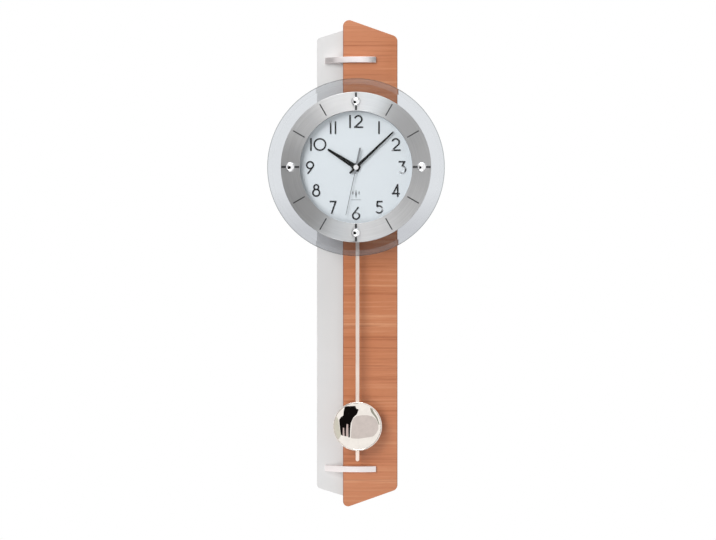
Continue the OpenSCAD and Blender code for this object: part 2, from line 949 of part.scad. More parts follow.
// Digits one to nine and nought, standing on Y = 0 at the numerals' height
module digit(n) {
    h = numeral_h;
    w = numeral_w;
    line = w / 2;
    bowl = 0.27 * h;
    if (n == 0)
        loop([h / 2, h / 2], h / 2 - line);
    if (n == 1)
        stroke([line, 0], [line, h]);
    if (n == 2) {
        c = [bowl + line, h - bowl - line];
        stroke(c + polar(bowl, two_angles[0]), [line, line]);
        bow(c, bowl, two_angles[0], two_angles[1]);
        stroke([0, line], [2 * bowl + 1.4 * w, line]);
    }
    if (n == 3) {
        c = [bowl + line, bowl + line];
        stroke([line, h - line], [2 * bowl + line, h - line]);
        stroke([2 * bowl, h - w / 3], c + polar(bowl, three_angles[1] - 3));
        bow(c, bowl, three_angles[0], three_angles[1]);
    }
    if (n == 4) {
        stem = 0.45 * h;
        bar = 0.25 * h;
        stroke([stem, 0], [stem, h]);
        stroke([0, bar], [0.62 * h, bar]);
        stroke([line, bar - line], [stem, h - line]);
    }
    if (n == 5) {
        c = [bowl + line, bowl + line];
        stroke([0.2 * h, h - line], [2 * bowl + line, h - line]);
        stroke([0.22 * h, h], c + polar(bowl, five_angles[1] - 4));
        bow(c, bowl, five_angles[0], five_angles[1]);
    }
    if (n == 6)
        six();
    if (n == 7) {
        stroke([0, h - line], [0.52 * h, h - line]);
        stroke([0.52 * h - line, h - line], [0.14 * h, 0]);
    }
    if (n == 8) {
        small = 0.24 * h - line;
        large = h / 2 - small - line;
        middle = large + line;
        loop([middle, large + line], large);
        loop([middle, h - small - line], small);
    }
    if (n == 9)
        translate([0.64 * h, h])
            rotate(180)
                six();
}

// A six is a closed round with a straight tail that leaves it at a tangent
module six() {
    round = 0.32 * numeral_h - numeral_w / 2;
    c = [round + numeral_w / 2, round + numeral_w / 2];
    loop(c, round);
    stroke(c + polar(round, 152), [0.5 * numeral_h, numeral_h - 0.2]);
}

function digit_w(n) = numeral_h * [1, 0.12, 0.68, 0.66, 0.62, 0.66, 0.64, 0.52, 0.64, 0.64][n];

// Number from one to twelve, centred on its place on the dial, raised and upright
module numeral(hour) {
    digits = hour < 10 ? [hour] : [1, hour - 10];
    space = numeral_h * (hour == 10 ? 0.13 : 0.25);
    first_w = digit_w(digits[0]);
    total_w = len(digits) == 1 ? first_w : first_w + space + digit_w(digits[1]);
    place = polar(numeral_circle_r, from_twelve(30 * hour)) + [hour == 10 ? ten_shift : 0, 0];
    color([0.2, 0.21, 0.23])
        seat()
            slab(dial_d, dial_d + numeral_t)
                translate(place - [total_w / 2, numeral_h / 2]) {
                    digit(digits[0]);
                    if (len(digits) == 2)
                        translate([first_w + space, 0])
                            digit(digits[1]);
                }
}

// Involute of a base circle: the angle gained at a radius, in degrees
function involute(base_r, r) =
    let (a = acos(min(1, base_r / r)))
    tan(a) * 180 / PI - a;

// Half of a tooth's thickness at a radius, as an angle
function tooth_half(teeth, pitch_r, base_r, r) =
    90 / teeth - backlash * 90 / (PI * pitch_r)
    + involute(base_r, pitch_r) - involute(base_r, r);

// Outline of a spur gear with a tooth on the X axis
function gear_points(teeth, size) =
    let (
        pitch_r = size * teeth / 2,
        base_r = pitch_r * cos(pressure_angle),
        root_r = pitch_r - 1.25 * size,
        tip_r = pitch_r + 0.95 * size,
        low_r = max(base_r, root_r),
        flank = [for (i = [0:3]) low_r + (tip_r - low_r) * i / 3]
    )
    [
        for (t = [0:teeth - 1])
            let (mid = 360 * t / teeth)
            each [
                polar(root_r, mid - tooth_half(teeth, pitch_r, base_r, low_r)),
                for (r = flank) polar(r, mid - tooth_half(teeth, pitch_r, base_r, r)),
                for (i = [3:-1:0]) polar(flank[i], mid + tooth_half(teeth, pitch_r, base_r, flank[i])),
                polar(root_r, mid + tooth_half(teeth, pitch_r, base_r, low_r))
            ]
    ];

module gear(teeth, size, turn) {
    rotate(turn)
        polygon(gear_points(teeth, size));
}

// Turn that puts a gap of the driven gear where the driver's tooth points at it
function mesh_turn(teeth, direction) = direction + 180 + 180 / teeth;

// Wheel with round windows in its web
module webbed(teeth, size, turn) {
    r = size * teeth / 2;
    difference() {
        gear(teeth, size, turn);
        for (i = [0:web_holes - 1])
            rotate(turn + 360 / web_holes * i)
                translate([web_circle_share * r, 0])
                    circle(r = web_hole_share * r);
    }
}

// Place of the pin that stops the lever's edge at the limit of its swing, on one side
function stop_place(side) =
    let (reach = lever_w / 2 + stop_r + stop_gap)
    [
        pendulum_x + side * (stop_drop * sin(swing_limit) + reach * cos(swing_limit)),
        pivot_z - stop_drop * cos(swing_limit) + reach * sin(swing_limit)
    ];

// Outline of the movement, with round corners
module movement_outline() {
    half = movement_half_w;
    rounded_outline(
        [[-half, -movement_drop], [half, -movement_drop], [half, movement_top], [-half, movement_top]],
        [for (i = [0:3]) movement_corner_r]
    );
}

module movement_housing() {
    color([0.15, 0.15, 0.16])
        seat()
            difference() {
                union() {
                    difference() {
                        slab(movement_back_d, cover_d)
                            movement_outline();
                        slab(room_d, cover_d + eps)
                            translate([-bay_half_l, room_bottom])
                                square([2 * bay_half_l, room_top - room_bottom]);
                        slab(movement_back_d - eps, cover_d - bay_floor_t)
                            translate([-bay_half_l, bay_bottom])
                                square([2 * bay_half_l, bay_top - bay_bottom]);
                    }
                    peg([0, 0], bearing_r, room_d - eps, second_wheel_d - bearing_drop);
                    peg(motion_place, bearing_r, room_d - eps, motion_seat_d);
                    peg([pendulum_x, pivot_z], lever_hub_r, movement_back_d - lever_gap + pivot_play,
                        movement_back_d + eps);
                    peg([pendulum_x, pivot_z], pivot_r, lever_d - pivot_play - pivot_head_t,
                        movement_back_d + eps);
                    peg([pendulum_x, pivot_z], pivot_head_r, lever_d - pivot_play - pivot_head_t,
                        lever_d - pivot_play);
                    for (side = [-1, 1])
                        peg(stop_place(side), stop_r, lever_d, movement_back_d + eps);
                }
                peg([0, 0], second_shaft_r + running_gap, room_d + pivot_depth, second_wheel_d);
                peg(motion_place, arbor_r + running_gap, motion_seat_d - 2 * pivot_depth, motion_wheel_d);
                for (place = [minute_rotor_place, second_rotor_place])
                    peg(place, arbor_r + running_gap, room_d - pivot_depth, room_d + eps);
                for (x = button_xs)
                    peg([x, -button_drop], button_r + running_gap, movement_back_d - eps, room_d + eps);
            }
}

module movement_cover() {
    color([0.15, 0.15, 0.16])
        seat()
            difference() {
                union() {
                    slab(cover_d, movement_front_d)
                        movement_outline();
                    peg([0, 0], bushing_r, cover_d, bushing_top_d);
                }
                peg([0, 0], hour_pipe_r + running_gap, cover_d - eps, bushing_top_d + eps);
                for (place = [motion_place, minute_rotor_place, second_rotor_place])
                    peg(place, arbor_r + running_gap, cover_d - eps, cover_d + pivot_depth);
            }
}

module rubber_washer() {
    color([0.18, 0.18, 0.18])
        seat()
            slab(movement_front_d, case_d)
                difference() {
                    circle(r = washer_r);
                    circle(r = bushing_r + screw_gap);
                }
}

module bushing_nut() {
    color([0.78, 0.64, 0.35])
        seat()
            slab(dial_d, dial_d + nut_t)
                difference() {
                    circle(r = nut_r, $fn = 6);
                    circle(r = bushing_r + screw_gap);
                }
}

// Round cell that lies along X in its bay
module battery() {
    start = -battery_len / 2;
    color([0.35, 0.4, 0.45])
        seat()
            translate([start, -battery_d, bay_z])
                rotate([0, 90, 0]) {
                    cylinder(r = battery_r, h = battery_len);
                    translate([0, 0, battery_len])
                        cylinder(r = battery_nub_r, h = battery_nub_len);
                }
}

// Leaf contacts at the two ends of the cell, each with a pressed boss that touches it
module battery_contacts() {
    leaf_t = 0.4;
    leaf_w = 9;
    contact_r = 1.6;
    plus_reach = bay_half_l - battery_len / 2 - battery_nub_len;
    minus_reach = bay_half_l - battery_len / 2;
    color([0.8, 0.8, 0.8])
        seat() {
            for (side = [-1, 1]) {
                boss_h = (side > 0 ? plus_reach : minus_reach) - leaf_t - fit;
                leaf_x = side > 0 ? bay_half_l - leaf_t : -bay_half_l;
                boss_x = side > 0 ? leaf_x - boss_h : leaf_x + leaf_t;
                translate([leaf_x, -battery_d - leaf_w / 2, bay_z - leaf_w / 2])
                    cube([leaf_t, leaf_w, leaf_w]);
                translate([boss_x, -battery_d, bay_z])
                    rotate([0, 90, 0])
                        cylinder(r = contact_r, h = boss_h);
            }
        }
}

module circuit_board() {
    board_t = 0.8;
    stand_h = 1.2;
    stand_r = 1.2;
    stand_inset = 2.5;
    board_d = room_d + stand_h;
    board_w = 11.5;
    board_right = bay_half_l - eps;
    board_left = board_right - board_w;
    board_low = -1;
    board_high = room_top - eps;
    chip_r = 3;
    chip_h = 1.2;
    chip_inset = 4.5;
    chip_z = 7;
    chip_place = [board_left + chip_inset, chip_z];
    crystal_r = 1;
    crystal_len = 6;
    crystal_inset = 2;
    crystal_z = 4;
    crystal_place = [board_right - crystal_inset, crystal_z];
    color([0.1, 0.35, 0.2])
        seat() {
            slab(board_d, board_d + board_t)
                translate([board_left, board_low])
                    square([board_right - board_left, board_high - board_low]);
            for (z = [board_low + stand_inset, board_high - stand_inset])
                peg([board_right - stand_inset, z], stand_r, room_d, board_d);
            peg(chip_place, chip_r, board_d + board_t, board_d + board_t + chip_h);
            translate([crystal_place[0], -board_d - board_t - crystal_r, crystal_place[1]])
                cylinder(r = crystal_r, h = crystal_len);
        }
}

// Ferrite rod with its winding, for the time signal
module antenna_rod() {
    rod_len = 2 * bay_half_l - 6;
    winding_len = 18;
    winding_t = 0.7;
    stand_w = 3;
    stand_h = 2;
    color([0.3, 0.28, 0.27])
        seat() {
            translate([-rod_len / 2, -antenna_d, antenna_z])
                rotate([0, 90, 0])
                    cylinder(r = antenna_r - winding_t, h = rod_len);
            translate([-winding_len / 2, -antenna_d, antenna_z])
                rotate([0, 90, 0])
                    cylinder(r = antenna_r, h = winding_len);
            for (x = [-rod_len / 2, rod_len / 2 - stand_w])
                translate([x, -antenna_d, antenna_z - stand_h / 2])
                    cube([stand_w, antenna_d - room_d, stand_h]);
        }
}

// Flat coil inside the movement that pushes the pendulum's magnet
module drive_coil() {
    color([0.72, 0.45, 0.2])
        seat()
            slab(room_d, room_d + drive_coil_t)
                translate([pendulum_x, drive_z])
                    difference() {
                        circle(r = drive_coil_r);
                        circle(r = drive_coil_r / 3);
                    }
}

function coil_centre(rotor) = [rotor[0] + sign(rotor[0]) * coil_out, coil_z + coil_rise];

// Depth at which the motors' magnets turn, and at which their stators lie
magnet_d = second_wheel_d - 3.4;
stator_d = magnet_d + magnet_t / 2 - stator_t / 2;

// Stator plate: a ring round the rotor's magnet and two legs that hold the coil's core
module stator(rotor) {
    c = coil_centre(rotor);
    end_x = rotor[0] + sign(rotor[0]) * stator_reach;
    half_len = coil_len / 2 + coil_end_gap;
    slab(stator_d, stator_d + stator_t)
        difference() {
            union() {
                translate(rotor)
                    circle(r = stator_ring_r);
                translate([min(rotor[0], end_x), rotor[1] - stator_leg_w / 2])
                    square([stator_reach, stator_leg_w]);
                for (x = [c[0] - half_len - stator_leg_w, c[0] + half_len])
                    translate([x, c[1] - stator_leg_drop])
                        square([stator_leg_w, rotor[1] - c[1] + stator_leg_drop]);
            }
            translate(rotor)
                circle(r = magnet_r + stator_gap);
        }
}

module motor_stators() {
    color([0.6, 0.61, 0.62])
        seat() {
            stator(minute_rotor_place);
            stator(second_rotor_place);
        }
}

module motor_coils() {
    color([0.75, 0.42, 0.18])
        seat()
            for (rotor = [minute_rotor_place, second_rotor_place]) {
                c = coil_centre(rotor);
                translate([c[0] - coil_len / 2, -stator_d - stator_t / 2, c[1] - coil_sink])
                    rotate([0, 90, 0])
                        cylinder(r = coil_r, h = coil_len);
            }
}

// Rotor: arbor, magnet and a pinion that drives a wheel at depth wheel_d
module rotor(place, direction, wheel_d) {
    peg(place, arbor_r, room_d - pivot_depth + fit, cover_d + pivot_depth - fit);
    peg(place, magnet_r, magnet_d, magnet_d + magnet_t);
    slab(wheel_d - (pinion_t - wheel_t) / 2, wheel_d + wheel_t + (pinion_t - wheel_t) / 2)
        translate(place)
            gear(pinion_teeth, drive_module, mesh_turn(pinion_teeth, direction));
}

module minute_rotor() {
    color([0.5, 0.52, 0.55])
        seat()
            rotor(minute_rotor_place, minute_rotor_direction, drive_wheel_d);
}

module second_rotor() {
    color([0.5, 0.52, 0.55])
        seat()
            rotor(second_rotor_place, second_rotor_direction, second_wheel_d);
}

// Minute tube with the centre wheel that the motor drives, and the pinion that turns the hours
module cannon_pinion() {
    color([0.85, 0.85, 0.8])
        seat()
            difference() {
                union() {
                    slab(drive_wheel_d, drive_wheel_d + wheel_t)
                        webbed(drive_teeth, drive_module, minute_rotor_direction);
                    slab(motion_wheel_d - (pinion_t - wheel_t) / 2, motion_wheel_d + wheel_t + 0.4)
                        gear(pinion_teeth, motion_module, motion_direction);
                    peg([0, 0], minute_tube_r, drive_wheel_d - 0.5, minute_hand_d + hand_t);
                }
                peg([0, 0], second_shaft_r + running_gap, drive_wheel_d - 1, minute_hand_d + hand_t + eps);
            }
}

// Wheel driven by the cannon pinion, with the pinion that drives the hour wheel
module motion_wheel() {
    color([0.85, 0.85, 0.8])
        seat() {
            slab(motion_wheel_d, motion_wheel_d + wheel_t)
                translate(motion_place)
                    webbed(motion_teeth, motion_module, mesh_turn(motion_teeth, motion_direction));
            slab(motion_wheel_d + wheel_t, cover_d - 0.3)
                translate(motion_place)
                    gear(pinion_teeth, hour_module, motion_direction + 180);
            peg(motion_place, arbor_r, motion_seat_d - 2 * pivot_depth + fit, cover_d + pivot_depth - fit);
        }
}

module hour_wheel() {
    color([0.85, 0.85, 0.8])
        seat()
            difference() {
                union() {
                    slab(hour_wheel_d, hour_wheel_d + wheel_t)
                        webbed(hour_teeth, hour_module, mesh_turn(hour_teeth, motion_direction + 180));
                    peg([0, 0], hour_pipe_r, hour_wheel_d, hour_hand_d + hand_t);
                }
                peg([0, 0], minute_tube_r + running_gap, hour_wheel_d - eps, hour_hand_d + hand_t + eps);
            }
}

module second_arbor() {
    color([0.85, 0.85, 0.8])
        seat() {
            slab(second_wheel_d, second_wheel_d + wheel_t)
                webbed(drive_teeth, drive_module, second_rotor_direction);
            peg([0, 0], second_shaft_r, room_d + pivot_depth + fit, second_hand_d + second_hand_t);
        }
}

// Tapered blade of a hand along +X, with a round end
module blade(from_x, from_w, to_x, to_w) {
    end_x = to_x - to_w / 2;
    polygon([[from_x, -from_w / 2], [end_x, -to_w / 2], [end_x, to_w / 2], [from_x, from_w / 2]]);
    translate([end_x, 0])
        circle(r = to_w / 2);
}

module hour_hand() {
    color([0.06, 0.06, 0.06])
        seat()
            slab(hour_hand_d, hour_hand_d + hand_t)
                rotate(from_twelve(hour_angle))
                    difference() {
                        union() {
                            circle(r = hour_hub_r);
                            blade(0, hour_root_w, hour_len, hour_tip_w);
                        }
                        circle(r = hour_pipe_r);
                    }
}

module minute_hand() {
    color([0.06, 0.06, 0.06])
        seat()
            slab(minute_hand_d, minute_hand_d + hand_t)
                rotate(from_twelve(minute_angle))
                    difference() {
                        union() {
                            circle(r = minute_hub_r);
                            blade(0, minute_root_w, minute_len, minute_tip_w);
                            rotate(180)
                                blade(0, minute_root_w, minute_tail, minute_tail_w);
                        }
                        circle(r = minute_tube_r);
                    }
}

module second_hand() {
    color([0.55, 0.56, 0.57])
        seat()
            slab(second_hand_d, second_hand_d + second_hand_t)
                rotate(from_twelve(second_angle))
                    difference() {
                        union() {
                            circle(r = second_hub_r);
                            blade(0, second_w, second_len, second_w * 0.8);
                            blade(0, second_heel_w, second_heel_len, second_heel_w * 0.8);
                            rotate(180)
                                blade(0, second_tail_w, second_tail, second_tail_w);
                        }
                        circle(r = second_shaft_r);
                    }
}

module second_cap() {
    base_d = second_hand_d + second_hand_t;
    foot_h = 0.3;
    color([0.88, 0.86, 0.84])
        seat()
            domed_peg([0, 0], cap_r, dome_ball_r(cap_r, cap_h - foot_h), base_d, base_d + cap_h);
}

// Lever that hangs on the pivot, carries the magnet and hooks the rod
module pendulum_lever() {
    foot = lever_bottom_z;
    color([0.2, 0.2, 0.21])
        seat()
            difference() {
                union() {
                    slab(lever_d, lever_front_d) {
                        translate([pendulum_x, pivot_z])
                            circle(r = lever_hub_r + lever_rim);
                        translate([pendulum_x - lever_w / 2, foot])
                            square([lever_w, pivot_z - foot]);
                        translate([pendulum_x, drive_z])
                            circle(r = drive_magnet_r + lever_rim);
                    }
                    peg([pendulum_x, hook_z], hook_r, rod_d - fit - hook_head_t, lever_d + eps);
                    peg([pendulum_x, hook_z], hook_head_r, rod_d - fit - hook_head_t, rod_d - fit);
                }
                peg([pendulum_x, pivot_z], pivot_r + running_gap, lever_d - eps, lever_front_d + eps);
            }
}

module drive_magnet() {
    color([0.7, 0.71, 0.74])
        seat()
            peg([pendulum_x, drive_z], drive_magnet_r, lever_front_d, lever_front_d + drive_magnet_t);
}

// Flat rod with a round tip and a hole for the hook
module pendulum_rod() {
    color([0.88, 0.87, 0.86])
        seat()
            slab(rod_d, rod_front_d)
                difference() {
                    union() {
                        translate([pendulum_x - rod_w / 2, rod_tip_z + rod_w / 2])
                            square([rod_w, rod_top_z - rod_tip_z - rod_w / 2]);
                        translate([pendulum_x, rod_tip_z + rod_w / 2])
                            circle(r = rod_w / 2);
                    }
                    translate([pendulum_x, hook_z])
                        circle(r = hook_r + screw_gap);
                }
}

// Pressed shell with a straight rim, a rolled bead round its face and one even wall
module bob_shell() {
    rim_top_d = rod_front_d + bob_back_t + bob_rim_t;
    ball_r = dome_ball_r(bob_r, bob_bulge);
    top_d = rim_top_d + bob_bulge;
    place = [pendulum_x, bob_z];
    color([0.92, 0.91, 0.9])
        seat()
            difference() {
                union() {
                    domed_peg(place, bob_r, ball_r, rod_front_d, top_d);
                    turned(place)
                        translate([bob_r + bob_bead_out - bob_bead_r, rim_top_d])
                            circle(r = bob_bead_r, $fn = 24);
                }
                domed_peg(place, bob_r - bob_wall, ball_r - bob_wall, rod_front_d - eps, top_d - bob_wall);
            }
}

// Plate that closes the shell, with a spring clip that grips the rod
module bob_back() {
    clip_d = rod_d - clip_t;
    half_w = rod_w / 2 + fit;
    color([0.8, 0.8, 0.8])
        seat() {
            slab(rod_front_d, rod_front_d + bob_back_t)
                translate([pendulum_x, bob_z])
                    circle(r = bob_r - bob_wall - fit);
            for (side = [-1, 1])
                slab(clip_d, rod_front_d)
                    translate([pendulum_x + side * (half_w + clip_t / 2) - clip_t / 2, bob_z - clip_h / 2])
                        square([clip_t, clip_h]);
            slab(clip_d, clip_d + clip_t - fit)
                translate([pendulum_x - half_w - clip_t, bob_z - clip_h / 2])
                    square([2 * (half_w + clip_t), clip_h]);
        }
}

// Push button: a stem through the housing with a head inside that keeps it in
module button(x) {
    color([0.8, 0.15, 0.12])
        seat() {
            peg([x, -button_drop], button_r, movement_back_d - button_proud, room_d + fit);
            peg([x, -button_drop], button_head_r, room_d + fit, room_d + fit + button_head_t);
        }
}

module set_button() {
    button(button_xs[0]);
}

module reset_button() {
    button(button_xs[1]);
}

back_panel();
wood_panel();
panel_screws();
upper_bar();
lower_bar();
bar_screws();
hanger_plate();
hanger_screws();
wall_pads();
case_posts();
post_screws();
dial_case();
dial_plate();
spacer_ring();
glass_gasket();
glass_disc();
glass_sleeves();
trim_ring();
hour_marks();
dome_studs();
movement_housing();
movement_cover();
rubber_washer();
bushing_nut();
battery();
battery_contacts();
circuit_board();
antenna_rod();
drive_coil();
motor_coils();
motor_stators();
minute_rotor();
second_rotor();
cannon_pinion();
motion_wheel();
hour_wheel();
second_arbor();
hour_hand();
minute_hand();
second_hand();
second_cap();
pendulum_lever();
drive_magnet();
pendulum_rod();
bob_shell();
bob_back();
set_button();
reset_button();
for (h = HOURS)
    numeral(h);
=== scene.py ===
"""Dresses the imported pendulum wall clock: finishes, eased edges, a printed ornament, studio and camera.

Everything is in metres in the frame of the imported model: X to the viewer's right, Z up, and the
clock faces -Y with its back on the wall plane at Y = 0.
"""

import json
import logging
import math
from dataclasses import dataclass
from enum import Enum

import bmesh
import bpy
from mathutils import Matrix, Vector

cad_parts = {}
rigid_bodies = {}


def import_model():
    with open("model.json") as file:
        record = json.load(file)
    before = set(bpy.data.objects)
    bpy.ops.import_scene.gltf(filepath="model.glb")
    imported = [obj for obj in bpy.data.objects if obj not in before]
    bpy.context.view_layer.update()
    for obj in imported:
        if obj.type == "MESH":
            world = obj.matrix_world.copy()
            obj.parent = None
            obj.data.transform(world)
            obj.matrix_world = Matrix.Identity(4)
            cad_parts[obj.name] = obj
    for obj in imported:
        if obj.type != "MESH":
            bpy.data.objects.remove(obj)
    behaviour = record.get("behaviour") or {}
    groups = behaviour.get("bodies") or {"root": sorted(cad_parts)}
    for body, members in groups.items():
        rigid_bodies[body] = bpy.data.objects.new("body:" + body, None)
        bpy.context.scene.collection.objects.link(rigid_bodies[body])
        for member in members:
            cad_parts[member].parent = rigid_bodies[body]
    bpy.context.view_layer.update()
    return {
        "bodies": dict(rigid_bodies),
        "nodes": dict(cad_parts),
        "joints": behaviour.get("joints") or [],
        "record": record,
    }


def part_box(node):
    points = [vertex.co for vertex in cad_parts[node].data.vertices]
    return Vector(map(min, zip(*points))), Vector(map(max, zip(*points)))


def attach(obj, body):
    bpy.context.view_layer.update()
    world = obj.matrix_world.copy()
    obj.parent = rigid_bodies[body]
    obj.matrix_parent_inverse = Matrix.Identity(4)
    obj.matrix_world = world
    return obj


LOG = logging.getLogger("wall_clock")
Colour = tuple[float, float, float]
Point = tuple[float, float, float]
Pair = tuple[float, float]
Outline = tuple[Pair, ...]
Four = tuple[float, float, float, float]
Socket = bpy.types.NodeSocket
Form = bmesh.types.BMesh
Piece = bpy.types.Object
HANDS_Z = -0.120
MM = 0.001
WHITE: Colour = (1.0, 1.0, 1.0)
MOST: Pair = (0.3, 0.7)  # most of a noise's values lie between these
HALF: Pair = (0.35, 0.65)  # about half of them lie between these


class Along(Enum):
    """Direction in which a grain, a brushing or a winding runs."""

    X = (1.0, 0.0, 0.0)
    Y = (0.0, 1.0, 0.0)
    Z = (0.0, 0.0, 1.0)


class Ray(Enum):
    """Kind of ray that a Light Path node knows."""

    CAMERA = "Camera"
    GLOSSY = "Glossy"
    TRANSMISSION = "Transmission"
    DIFFUSE = "Diffuse"
    SHADOW = "Shadow"


class Sheet:
    """Node sheet of a material or a world, with short calls for the nodes that the finishes use."""

    mix_unused: tuple[None, ...] = (None,) * 5  # a Mix node's inputs between factor and colours
    mix_result: int = 2

    def __init__(self, name: str, world: bool = False) -> None:
        """Starts an empty sheet.

        Args:
            name: The name of the material or world.
            world: Whether it is a world.
        """
        self.owner = (bpy.data.worlds if world else bpy.data.materials).new(name)
        self.owner.use_nodes = True
        self.tree = self.owner.node_tree
        self.tree.nodes.clear()
        self.output = self.node("OutputWorld" if world else "OutputMaterial")

    def node(self, kind: str, *values: object, **named: object) -> bpy.types.Node:
        """Adds a node, and fills or links its inputs.

        Args:
            kind: Blender's node type, without its ShaderNode.
            values: A value or a socket for each of its first inputs, or None to leave one alone.
            named: The same for inputs by name, with spaces as underscores. Lower case names are
                the node's own settings.

        Returns:
            The new node.
        """
        made = self.tree.nodes.new(f"ShaderNode{kind}")
        for name, value in named.items():
            if name.islower():
                setattr(made, name, value)
            else:
                self.fill(made.inputs[name.replace("_", " ")], value)
        for socket, value in zip(made.inputs, values):
            self.fill(socket, value)
        return made

    def fill(self, socket: Socket, value: object) -> None:
        """Links a socket to another, or gives it a value.

        Args:
            socket: The input.
            value: A socket, a number, a colour or a vector, or None to leave the input alone.
        """
        if isinstance(value, Socket):
            self.tree.links.new(value, socket)
        elif isinstance(value, tuple) and socket.type == "RGBA":
            socket.default_value = (*value, 1.0)
        elif value is not None:
            socket.default_value = value

    def show(self, shader: Socket) -> Socket:
        """Makes a shader the sheet's result, and passes it on."""
        self.fill(self.output.inputs["Surface"], shader)
        return shader

    def place(self) -> Socket:
        """Place in the frame, which moves with the piece."""
        return self.node("TexCoord").outputs["Object"]

    def ray(self, kind: Ray) -> Socket:
        """Whether a ray is of one kind."""
        return self.node("LightPath").outputs[f"Is {kind.value} Ray"]

    def split(self, vector: Socket) -> list[Socket]:
        """The X, Y and Z parts of a vector."""
        return list(self.node("SeparateXYZ", Vector=vector).outputs)

    def join(self, x: object, y: object, z: object) -> Socket:
        """A vector from three parts."""
        return self.node("CombineXYZ", X=x, Y=y, Z=z).outputs["Vector"]

    def length(self, vector: Socket) -> Socket:
        """Length of a vector."""
        return self.node("VectorMath", vector, operation="LENGTH").outputs["Value"]

    def radius(self, centre: Pair) -> Socket:
        """Distance from an axis along Y that passes through X and Z of a centre."""
        x, _, z = self.split(self.place())
        return self.length(self.join(self.minus(x, centre[0]), 0.0, self.minus(z, centre[1])))

    def scaled(self, scale: Point, turn: Point = (0.0, 0.0, 0.0)) -> Socket:
        """Place in the frame, turned by radians and then scaled by factors in 1/m."""
        return self.node("Mapping", Vector=self.place(), Scale=scale, Rotation=turn).outputs["Vector"]

    def maths(self, kind: str, a: object, b: object = 0.0) -> Socket:
        """One step of arithmetic, by an operation of Blender's Math node."""
        return self.node("Math", a, b, operation=kind).outputs[0]

    def plus(self, a: object, b: object) -> Socket:
        """The sum of two numbers."""
        return self.maths("ADD", a, b)

    def minus(self, a: object, b: object) -> Socket:
        """The difference of two numbers."""
        return self.maths("SUBTRACT", a, b)

    def times(self, a: object, b: object) -> Socket:
        """The product of two numbers."""
        return self.maths("MULTIPLY", a, b)

    def mean(self, a: Socket, b: Socket, share: float) -> Socket:
        """The mean of two numbers, with the first one's share of it."""
        return self.plus(self.times(a, share), self.times(b, 1.0 - share))

    def noise(self, scale: float = 1.0, detail: float = 3.0, rough: float = 0.5, twist: float = 0.0,
              at: Socket | None = None) -> Socket:
        """Noise between nought and one, read at a vector or else at the place."""
        return self.node("TexNoise", Vector=at or self.place(), Scale=scale, Detail=detail, Roughness=rough,
                         Distortion=twist).outputs["Fac"]

    def ramp(self, value: Socket, stops: list[tuple[float, Colour]]) -> Socket:
        """A colour that runs through stops.

        Args:
            value: Where on the ramp to read.
            stops: Place and colour of each stop.

        Returns:
            The colour's socket.
        """
        made = self.node("ValToRGB", Fac=value)
        marks = made.color_ramp.elements
        while len(marks) < len(stops):
            marks.new(0.5)
        for mark, (spot, colour) in zip(marks, stops):
            mark.position = spot
            mark.color = (*colour, 1.0)
        return made.outputs["Color"]

    def span(self, value: object, low: float, high: float, to_low: float = 0.0,
             to_high: float = 1.0) -> Socket:
        """A value stretched from the range of low and high to another, and clamped."""
        return self.node("MapRange", value, low, high, to_low, to_high).outputs["Result"]

    def blend(self, share: object, a: object, b: object, how: str = "MIX") -> Socket:
        """Two colours mixed by one of Blender's blend types, with the share of the second one."""
        made = self.node("Mix", share, *self.mix_unused, a, b, data_type="RGBA", blend_type=how)
        return made.outputs[self.mix_result]

    def layer(self, share: object, under: Socket, over: Socket) -> Socket:
        """Two shaders mixed, with the share of the second one."""
        return self.node("MixShader", share, under, over).outputs[0]

    def relief(self, height: Socket, depth: float, strength: float = 0.5,
               over: Socket | None = None) -> Socket:
        """Normals that follow a height of nought to a depth in metres, over those of another relief."""
        return self.node("Bump", Height=height, Distance=depth, Strength=strength,
                         Normal=over).outputs["Normal"]

    def surface(self, colour: object, rough: object, normal: Socket | None = None,
                **fixed: object) -> Socket:
        """Adds the main shader, with further inputs by name, and makes it the sheet's result."""
        made = self.node("BsdfPrincipled", Base_Color=colour, Roughness=rough, Normal=normal, **fixed)
        return self.show(made.outputs["BSDF"])


@dataclass(frozen=True)
class Finish:
    """A surface finish. Each kind lays its own nodes on a sheet."""

    colour: Colour
    rough: float

    def lay(self, s: Sheet) -> None:
        """Lays the finish's nodes on a sheet."""
        raise NotImplementedError

    def make(self, name: str) -> bpy.types.Material:
        """Builds the material under a name."""
        self.lay(s := Sheet(name))
        return s.owner

    def toned(self, factor: float, lift: float = 0.0) -> Colour:
        """The finish's colour, each part times a factor and plus a lift, at most white."""
        return tuple(min(1.0, part * factor + lift) for part in self.colour)

    def mottled(self, s: Sheet, noise: Socket, share: float) -> Socket:
        """The finish's colour, darker and paler by a share as a noise goes."""
        return s.ramp(noise, [(HALF[0], self.toned(1.0 - share)), (HALF[1], self.toned(1.0 + share))])

    def dulled(self, s: Sheet, noise: Socket, less: float = 0.05, more: float = 0.05,
               window: Pair = MOST) -> Socket:
        """Roughness less and more than the finish's own, as a noise goes through a window."""
        return s.span(noise, *window, self.rough - less, self.rough + more)


@dataclass(frozen=True)
class PaintedBoard(Finish):
    """Satin paint sprayed on fibreboard: a fine peel, faint clouds and duller spots."""

    peel_scale: float = 900.0
    peel_depth: float = 0.00002
    cloud_scale: float = 14.0
    cloud_share: float = 0.03
    spot_scale: float = 60.0

    def lay(self, s: Sheet) -> None:
        """Lays clouds, peel and spots.

        Args:
            s: The sheet.
        """
        clouds = s.noise(self.cloud_scale, detail=4.0, rough=0.55)
        shade = s.span(clouds, *MOST, 1.0 - self.cloud_share, 1.0)
        colour = s.blend(1.0, self.colour, shade, "MULTIPLY")
        peel = s.noise(self.peel_scale, detail=2.0)
        rough = self.dulled(s, s.noise(self.spot_scale))
        s.surface(colour, rough, s.relief(peel, self.peel_depth, strength=0.6))


